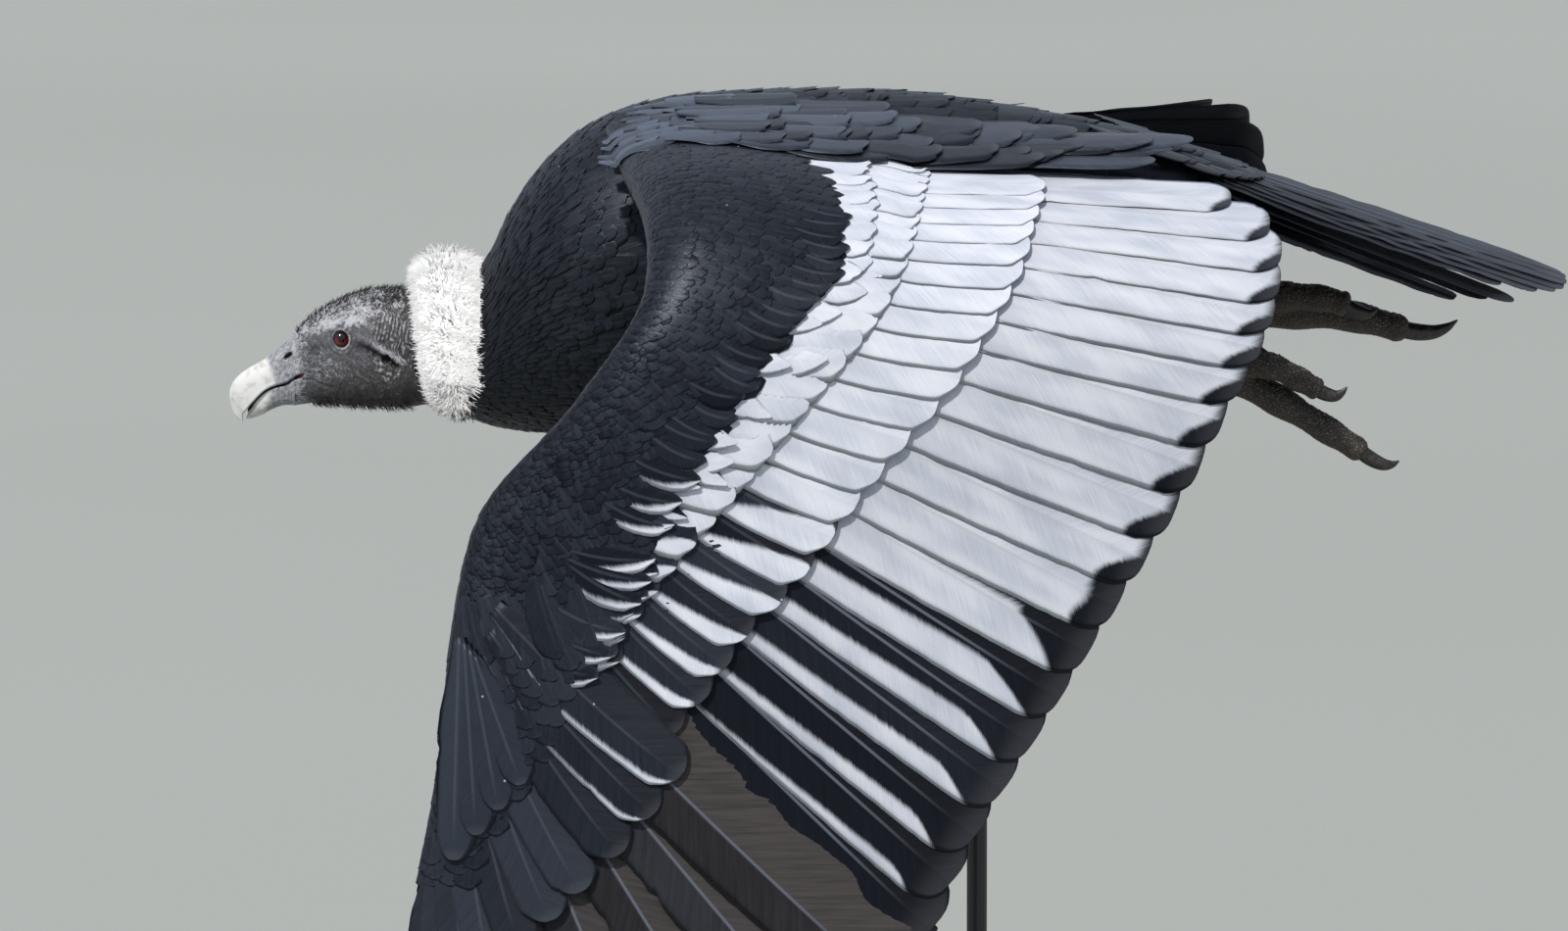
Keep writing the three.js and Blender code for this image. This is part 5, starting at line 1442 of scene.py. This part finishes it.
def makeMouth():  # the lining between the two halves, painted near black: the shade inside the mouth
    rows = [(i, *row) for i, row in enumerate(mouthRows)]
    at = np.linspace(0, len(rows) - 1, 40)
    x, z, wide, high = (tableAt(rows, at, k)[:, None] for k in range(1, 5))
    turn = np.arange(24)[None] / 24 * 2 * math.pi
    ring = np.stack([x + 0 * turn, wide * np.sin(turn), z + high * np.cos(turn)], -1)
    mesh = meshOf("mouth", *skinOver(inFrame(ring)))
    lateralBake(mesh)
    paint = Paint("mouth lining", Roughness=0.35)
    damp = paint.cloud(paint.place(), 300, 2)
    finish = paint.feed(Base_Color=paint.blend(damp, skinColours["mouth"], skinColours["dampMouth"]))
    addPiece("mouth_lining", mesh, finish, "head_skin", "head")


makeMouth()


# Eyes

eyeColours = {
    "iris": (0.075, 0.006, 0.005), "glow": (0.2, 0.018, 0.012), "shadow": (0.012, 0.004, 0.004),
    "rim": (0.014, 0.005, 0.005), "white": (0.05, 0.03, 0.028), "pupil": (0.002, 0.002, 0.002),
}


def eyeFinish():
    c = eyeColours
    paint = Paint("eye", Roughness=0.12, Coat_Weight=0.4, Coat_Roughness=0.02, Specular_IOR_Level=0.4)
    away, turn, low = paint.attribute("gaze")
    rays = paint.cloud(paint.join(paint.times(turn, 4), paint.times(away, 0.3), low), 1.6, 3, 0.6)
    # lit adds to the iris's streaks a lightening towards its bottom, and the top is darkened: painted shade
    # of the upper lid.
    lit = paint.plus(rays, paint.times(low, 0.25))
    iris = paint.blend(paint.step(lit, 0.3, 0.8), c["iris"], c["glow"])
    iris = paint.blend(paint.step(low, 0.05, -0.75, (0, 0.9)), iris, c["shadow"])
    colour = paint.blend(paint.step(away, 2.3, 2.6), c["pupil"], iris)
    colour = paint.blend(paint.step(away, 4.6, 5.3), colour, c["rim"])
    colour = paint.blend(paint.step(away, 5.6, 6.2), colour, c["white"])
    return paint.feed(Base_Color=colour)


def makeEye(name, side, finish):
    fromFront, turns = np.linspace(0.001, math.pi - 0.001, 60), np.arange(72) / 72 * 2 * math.pi
    polar, turn = np.meshgrid(fromFront, turns, indexing="ij")
    bulge = eyeSetup["radius"] + 0.5 * hill(polar, 0.42)
    away = bulge * np.sin(polar)
    points = inFrame(np.stack([
        eyeSetup["x"] + away * np.cos(turn),
        side * (eyeSetup["y"] + bulge * np.cos(polar)),
        eyeSetup["z"] + away * np.sin(turn),
    ], -1))
    mesh = meshOf(f"eye_{name}_ball", *skinOver(points))
    front = np.where(polar < math.pi / 2, away, eyeSetup["radius"])
    setNumbers(mesh, "gaze", np.stack([front, np.cos(turn) * 3, -np.sin(turn)], -1).reshape(-1, 3))
    lateralBake(mesh)
    addPiece(f"eye_{name}_ball", mesh, finish, "eye", f"eye_{name}")


eyeGloss = eyeFinish()
for name, side in (("left", -1), ("right", 1)):
    makeEye(name, side, eyeGloss)


# Down and bristles: flat tapered spikes

quadsEach, trianglesEach = 6, 4  # faces of one spike


def growSpikes(roots, ways, lengths, widths, bends, flat, facing=None):
    ways = unit(ways)
    helper = np.where(np.abs(ways[:, 2:]) < 0.9, [[0, 0, 1.0]], [[1.0, 0, 0]]) if facing is None else facing
    across = unit(np.cross(ways, helper))
    over = np.cross(across, ways)
    turns = (0.5, 2.6, 4.7) if facing is None else (1.57, 3.5, 5.9)
    rings = []
    for t, thick in ((0, 0.7), (0.45, 1.0), (0.8, 0.6)):  # shares of the length and the width
        centre = roots + ways * (lengths * t)[:, None] + bends * (lengths * t * t)[:, None]
        wide = (widths * thick / 2)[:, None]
        for turn in turns:
            rings.append(centre + across * math.cos(turn) * wide + over * math.sin(turn) * wide * flat)
    tip = roots + ways * lengths[:, None] + bends * lengths[:, None]
    points = np.stack([*rings, tip], 1)
    shift = np.arange(len(roots))[:, None, None] * points.shape[1]
    quads = [(a, b, b + 3, a + 3) for a, b in ((0, 1), (1, 2), (2, 0), (3, 4), (4, 5), (5, 3))]
    quads = (np.array(quads)[None] + shift).reshape(-1, 4)
    triangles = (np.array([(6, 7, 9), (7, 8, 9), (8, 6, 9), (0, 2, 1)])[None] + shift).reshape(-1, 3)
    return points.reshape(-1, 3), quads, triangles


def rootBake(mesh, places):  # each spike is one small patch at its root's place
    corner = np.clip(places, 0, 1) * (1 - patchSize)
    dots = np.array([(0, 0), (1, 0), (1, 1), (0, 1)]) * patchSize
    patches = corner[:, None, None] + dots
    quadPatches = np.repeat(patches, quadsEach, 1).reshape(-1, 2)
    trianglePatches = np.repeat(patches[:, :, :3], trianglesEach, 1).reshape(-1, 2)
    setBakeMap(mesh, np.concatenate([quadPatches, trianglePatches]))


ruffSetup = {
    "x": -284, "z": 14, "high": 66.5, "wide": 64, "halfDepth": 29.5, "core": 0.955, "tufts": 10500,
    "white": (0.985, 0.985, 0.99), "offWhite": (0.95, 0.955, 0.965),
}


def ruffPoint(turn, section, share):  # the ruff's outer surface, and shares of it inwards
    r = ruffSetup
    lobes = 1 + 0.025 * np.sin(5 * turn) + 0.018 * np.cos(9 * turn) + 0.012 * np.sin(17 * turn + 2 * section)
    reach = mix(0.8, 1, np.cos(section)) * share * lobes
    x = r["x"] + np.sin(section) * r["halfDepth"] * share - 4 * np.cos(turn) + 5 * (1 - np.cos(turn)) / 2
    return np.stack([x, np.sin(turn) * r["wide"] * reach, r["z"] + np.cos(turn) * r["high"] * reach], -1)


def downFinish():
    paint = Paint("white down", Roughness=0.9, Sheen_Weight=0.4, Sheen_Roughness=0.6, Specular_IOR_Level=0.1)
    soft = paint.cloud(paint.place(), 60, 3, 0.6)
    colour = paint.blend(paint.step(soft, 0.35, 0.75), ruffSetup["white"], ruffSetup["offWhite"])
    return paint.feed(Base_Color=colour, Normal=paint.softNormal(0.92))


def makeRuff():
    r = ruffSetup
    sections, turns = np.radians(np.linspace(-88, 88, 30)), np.arange(96) / 96 * 2 * math.pi
    section, turn = np.meshgrid(sections, turns, indexing="ij")
    mesh = meshOf("ruff core", *skinOver(inFrame(ruffPoint(turn, section, r["core"]))))
    lateralBake(mesh)
    away = unit(ruffPoint(turn, section, 1.0) - ruffPoint(turn, section, 0.8))
    setNumbers(mesh, "outward", unit(away + [0, 0, 0.6]).reshape(-1, 3))
    finish = downFinish()
    core = addPiece("ruff_core", mesh, finish, "ruff_down", "ruff")
    core.visible_shadow = False
    count = r["tufts"]
    dice = np.random.default_rng(71)
    turn = dice.uniform(0, 2 * math.pi, count)
    section = np.radians(dice.uniform(-86, 86, count))
    root = ruffPoint(turn, section, r["core"] - 0.025)
    outward = unit(ruffPoint(turn, section, 1.0) - ruffPoint(turn, section, 0.8))
    alongSection = unit(ruffPoint(turn, section + 0.05, 1.0) - ruffPoint(turn, section - 0.05, 1.0))
    alongTurn = unit(ruffPoint(turn + 0.05, section, 1.0) - ruffPoint(turn - 0.05, section, 1.0))
    clump = np.sin(turn * 23 + 4 * section) * 0.25
    way = 0.34 * outward + alongSection * (1.1 * np.sin(section) + dice.normal(0.1, 0.25, count))[:, None]
    way = way + alongTurn * (0.6 * clump + dice.normal(0, 0.2, count))[:, None]
    bend = alongSection * dice.normal(0.12, 0.25, count)[:, None]
    bend = bend + alongTurn * dice.normal(0, 0.25, count)[:, None]
    length = dice.uniform(6, 11, count)
    width = dice.uniform(0.5, 1.3, count)
    points, quads, triangles = growSpikes(root, way, length, width, bend, 0.3, outward)
    mesh = meshOf("ruff down", inFrame(points), quads, triangles)
    rootBake(mesh, np.stack([turn / (2 * math.pi), section / math.pi + 0.5], -1))
    lit = unit(0.35 * outward + [-0.2, -0.45, 0.7])  # light from above spreads down through it
    corners = np.concatenate([np.repeat(lit, quadsEach * 4, 0), np.repeat(lit, trianglesEach * 3, 0)])
    setNumbers(mesh, "outward", corners, "CORNER")
    down = addPiece("ruff_down", mesh, finish, "ruff_down", "ruff")
    down.visible_shadow = False  # light passes through down


makeRuff()
print("ruff ready")

bristleSetup = {
    "count": 6600, "x": (-408, -318), "long": (3, 7), "short": (1.2, 3.2), "thick": (0.35, 0.6),
    "thin": (0.2, 0.34), "black": (0.008, 0.007, 0.008), "faded": (0.04, 0.036, 0.035),
}


def bristleFinish():
    paint = Paint("black bristles", Specular_IOR_Level=0.3)
    tint = paint.cloud(paint.place(), 500, 1)
    colour = paint.blend(tint, bristleSetup["black"], bristleSetup["faded"])
    return paint.feed(Base_Color=colour, Roughness=paint.plus(paint.times(tint, 0.2), 0.45))


def makeBristles():  # short stiff hairs on the forehead, crown, nape and chin
    b = bristleSetup
    dice = np.random.default_rng(81)
    place = barrel(asBarrel(headRows), headSetup["square"])
    x = dice.uniform(*b["x"], b["count"])
    angle = dice.uniform(-math.pi, math.pi, b["count"])
    height = np.cos(angle)
    chance = np.where(height > 0.55, 0.95, np.where(height < -0.8, 0.8, 0.16))
    chance = chance * np.where(height > 0, 1, smoothStep(-402, -392, x))
    kept = dice.random(b["count"]) < chance
    x, angle, height = x[kept], angle[kept], height[kept]
    flat = np.stack([x, angle * 100, np.full_like(x, -0.3)], -1)
    root = place(flat)
    out = unit(place(flat + [0, 0, 5]) - root)
    clear = (eyeDistance(x, root[:, 2] / mm - bodyLevel) > 1.7) | (np.abs(height) > 0.9)
    root, out, x, angle, height = root[clear], out[clear], x[clear], angle[clear], height[clear]
    count = len(x)
    back = np.array([[1.0, 0, 0]])
    way = out * 0.75 + back * dice.uniform(0.15, 0.9, count)[:, None] + dice.normal(0, 0.22, (count, 3))
    isLong = np.abs(height) > 0.75
    length = np.where(isLong, dice.uniform(*b["long"], count), dice.uniform(*b["short"], count)) * mm
    width = np.where(isLong, dice.uniform(*b["thick"], count), dice.uniform(*b["thin"], count)) * mm
    bend = back * dice.uniform(0, 0.4, count)[:, None]
    mesh = meshOf("head bristles", *growSpikes(root, way, length, width, bend, 0.7))
    first, last = b["x"]
    rootBake(mesh, np.stack([angle / (2 * math.pi) + 0.5, (x - first) / (last - first)], -1))
    addPiece("head_bristles", mesh, bristleFinish(), "plumage", "head")


makeBristles()


# Feet

feet = {  # stops along each tube: x, y, z, half height, half width; then the point of the claw
    "left": {
        "tarsus": [(236, -52, 6, 12, 11), (268, -51, 1, 10.5, 10), (305, -50, -7, 11.5, 11),
                   (336, -49, -15, 14, 14)],
        "middle": ([(326, -50, -13, 13, 12), (366, -51, -34, 12, 11), (404, -52, -57, 10.5, 10),
                    (434, -52, -76, 10, 8.5)], (460, -52, -81)),
        "outer": ([(330, -60, -5, 11, 10), (358, -66, -5, 10.5, 10), (380, -68, -15, 9.5, 8.5),
                   (398, -68, -25, 9.5, 8)], (418, -68, -21)),
        "inner": ([(328, -40, -13, 11, 10), (354, -34, -28, 10, 9), (376, -32, -41, 9, 8),
                   (392, -31, -52, 8.5, 7.5)], (411, -31, -59)),
        "hind": ([(322, -48, -17, 10, 9), (312, -46, -30, 8, 8), (300, -45, -38, 7.5, 7),
                  (288, -45, -42, 7, 6.5)], (271, -45, -49)),
    },
    "right": {
        "tarsus": [(236, 52, 33, 12, 11), (272, 51, 34, 11, 10.5), (312, 50, 34, 13, 12),
                   (346, 49, 32, 17, 15)],
        "middle": ([(336, 49, 29, 16, 14), (384, 50, 28, 14, 13), (432, 50, 23, 12, 11),
                    (474, 50, 12, 11.5, 9.5)], (512, 50, 21)),
        "outer": ([(338, 60, 31, 13, 12), (376, 66, 33, 12, 11), (404, 68, 30, 10.5, 9.5),
                   (424, 68, 24, 10.5, 8.5)], (447, 68, 23)),
        "inner": ([(336, 40, 36, 13, 12), (372, 34, 41, 12, 11), (402, 32, 40, 10.5, 9.5),
                   (426, 31, 34, 10.5, 8.5)], (447, 31, 32)),
        "hind": ([(328, 48, 26, 11, 10), (334, 46, 14, 9, 8.5), (344, 45, 4, 8.5, 8),
                  (354, 45, -2, 8, 7.5)], (371, 45, -6)),
    },
}
toeNames = ("middle", "outer", "inner", "hind")
footColours = {
    "hide": (0.036, 0.03, 0.025), "scale": (0.15, 0.13, 0.108), "dark": (0.012, 0.01, 0.009),
    "sole": (0.12, 0.085, 0.06), "claw": (0.008, 0.007, 0.007), "wornClaw": (0.05, 0.042, 0.036),
}


def tubeRings(stops, sides, steps, knuckles=0, roundEnd=0):
    rows = [(i, *stop) for i, stop in enumerate(stops)]
    at = np.linspace(0, len(stops) - 1, steps)
    centre = np.stack([tableAt(rows, at, k) for k in (1, 2, 3)], -1)
    ahead = np.stack([tableAt(rows, at + 0.02, k) - tableAt(rows, at - 0.02, k) for k in (1, 2, 3)], -1)
    ahead[[0, -1]] = ahead[[1, -2]]
    along = unit(ahead)
    up = unit(np.cross(np.cross(along, [[0, 0, 1.0]]), along))
    side = np.cross(along, up)
    bulge = 1 + knuckles * np.cos(at * 2 * math.pi)
    left = (at[-1] - at) / roundEnd if roundEnd else np.ones(steps)
    bulge = bulge * np.sqrt(np.maximum(0.02, 1 - (1 - np.clip(left, 0, 1)) ** 2))
    high, wide = tableAt(rows, at, 4) * bulge, tableAt(rows, at, 5) * bulge
    turn = np.arange(sides)[None, :, None] / sides * 2 * math.pi
    upwards, sideways = up[:, None] * np.cos(turn), side[:, None] * np.sin(turn)
    return centre[:, None] + upwards * high[:, None, None] + sideways * wide[:, None, None]


def footFinish():
    c = footColours
    paint = Paint("scaly foot skin", Specular_IOR_Level=0.4)
    plate, seam, tone = paint.attribute("scaleForm")
    dirt = paint.cloud(paint.place(), 180, 3, 0.6)
    fine = paint.step(paint.cells(paint.place(), 430, "DISTANCE_TO_EDGE"), 0.02, 0.2)
    form = paint.times(fine, paint.plus(0.4, paint.times(plate, 0.6)))
    value = paint.plus(paint.times(form, 0.6), paint.times(dirt, 0.6))
    colour = paint.blend(paint.step(value, 0.35, 1.05), c["hide"], c["scale"])
    colour = paint.blend(paint.times(tone, 0.4), colour, c["sole"])
    colour = paint.blend(paint.times(seam, 0.7), colour, c["dark"])
    rough = paint.plus(paint.times(dirt, 0.3), 0.4)
    return paint.feed(Base_Color=colour, Roughness=rough, Normal=paint.bump(form, 0.7, 0.0011))


def makeFoot(name, foot, finish):
    tubes = [tubeRings(foot["tarsus"], 24, 40)]
    tubes += [tubeRings(foot[toe][0], 24, 60, 0.07, 0.3) for toe in toeNames]
    mesh = oneSkin("toe", [inFrame(rings) for rings in tubes], voxel=0.0012, rounds=6, share=0.6)
    count = len(mesh.vertices)
    points, normals = np.empty(count * 3, np.float32), np.empty(count * 3, np.float32)
    mesh.vertices.foreach_get("co", points)
    mesh.vertex_normals.foreach_get("vector", normals)
    points, normals = points.reshape(-1, 3), normals.reshape(-1, 3)
    plates = smoothStep(0.1, 0.7, normals[:, 2])
    seam = np.empty(count)
    for i, (p, wide) in enumerate(zip(points / mm, mix(3.4, 5, plates))):
        near = noise.voronoi(Vector(p) / float(wide))[0]
        seam[i] = near[1] - near[0]
    high = smoothStep(0.02, 0.3, seam)
    lifted = points + normals * ((high - 0.6) * mix(0.2, 0.7, plates))[:, None] * mm
    mesh.vertices.foreach_set("co", lifted.astype(np.float32).ravel())
    mesh.update()
    forms = [high, (1 - high) * mix(0.2, 1, plates), smoothStep(0, -0.8, normals[:, 2])]
    setNumbers(mesh, "scaleForm", np.stack(forms, -1))
    lateralBake(mesh)
    addPiece(f"foot_{name}_skin", mesh, finish, "foot_scale", f"foot_{name}")


def clawFinish():
    paint = Paint("claw horn", Coat_Weight=0.2, Coat_Roughness=0.25)
    grainy = paint.cloud(paint.place(), 300, 4, 0.65)
    c = footColours
    colour = paint.blend(paint.step(grainy, 0.35, 0.7), c["claw"], c["wornClaw"])
    rough = paint.plus(paint.times(grainy, 0.3), 0.22)
    return paint.feed(Base_Color=colour, Roughness=rough, Normal=paint.bump(grainy, 0.3, 0.0004))


def makeClaw(name, toe, rows, tip, finish):
    end, before, tip = (np.array(p, float) for p in (rows[-1], rows[-2], tip))
    start = end[:3] - unit(end[:3] - before[:3]) * 7
    middle = (end[:3] + tip) / 2 - [0, 0, 5]
    high, wide = end[3:]
    stops = [
        (*start, high * 0.6, wide * 0.6),
        (*mix(start, middle, 0.5) - [0, 0, 1.2], high * 0.6, wide * 0.55),
        (*middle, high * 0.5, wide * 0.46),
        (*mix(middle, tip, 0.55) - [0, 0, 1.6], high * 0.32, wide * 0.3),
        (*tip, 0.6, 0.5),
    ]
    mesh = meshOf("claw", *skinOver(inFrame(tubeRings(stops, 28, 48))))
    lateralBake(mesh)
    addPiece(f"claw_{name}_{toe}_horn", mesh, finish, "claw_horn", f"claw_{name}_{toe}")


footHide, clawHorn = footFinish(), clawFinish()
for name, foot in feet.items():
    makeFoot(name, foot, footHide)
    for toe in toeNames:
        makeClaw(name, toe, *foot[toe], clawHorn)
print("feet ready")


# Stand and floor

standColours = {"steel": (0.035, 0.035, 0.037), "smear": (0.055, 0.055, 0.057)}


def floorFinish():
    c = floorSetup
    paint = Paint("plain floor", Roughness=0.9, Specular_IOR_Level=0.1)
    soft = paint.cloud(paint.place(), 0.12, 2)
    return paint.feed(Base_Color=paint.blend(paint.step(soft, 0.35, 0.65), c["colour"], c["blotch"]))


def makeFloor():
    reach = floorSetup["reach"]
    points = np.array([(-reach, -reach, 0), (reach, -reach, 0), (reach, reach, 0), (-reach, reach, 0)])
    mesh = meshOf("floor", points, np.array([[0, 1, 2, 3]]))
    mesh.materials.append(floorFinish())
    floor = bpy.data.objects.new("floor", mesh)
    bpy.context.scene.collection.objects.link(floor)


def standFinish():
    paint = Paint("dark coated steel", Metallic=0.7, IOR=1.5)
    pits = paint.cloud(paint.place(), 420, 3, 0.6)
    smears = paint.cloud(paint.place(), 9, 3, 0.6)
    colour = paint.blend(smears, standColours["steel"], standColours["smear"])
    rough = paint.plus(paint.times(smears, 0.25), 0.28)
    return paint.feed(Base_Color=colour, Roughness=rough, Normal=paint.bump(pits, 0.25, 0.0002))


makeFloor()
standMetal = standFinish()
for name in ("stand_base", "stand_rod_front", "stand_rod_rear"):
    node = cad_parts[name]
    node.data.materials.clear()
    node.data.materials.append(standMetal)
print("stand and floor ready")
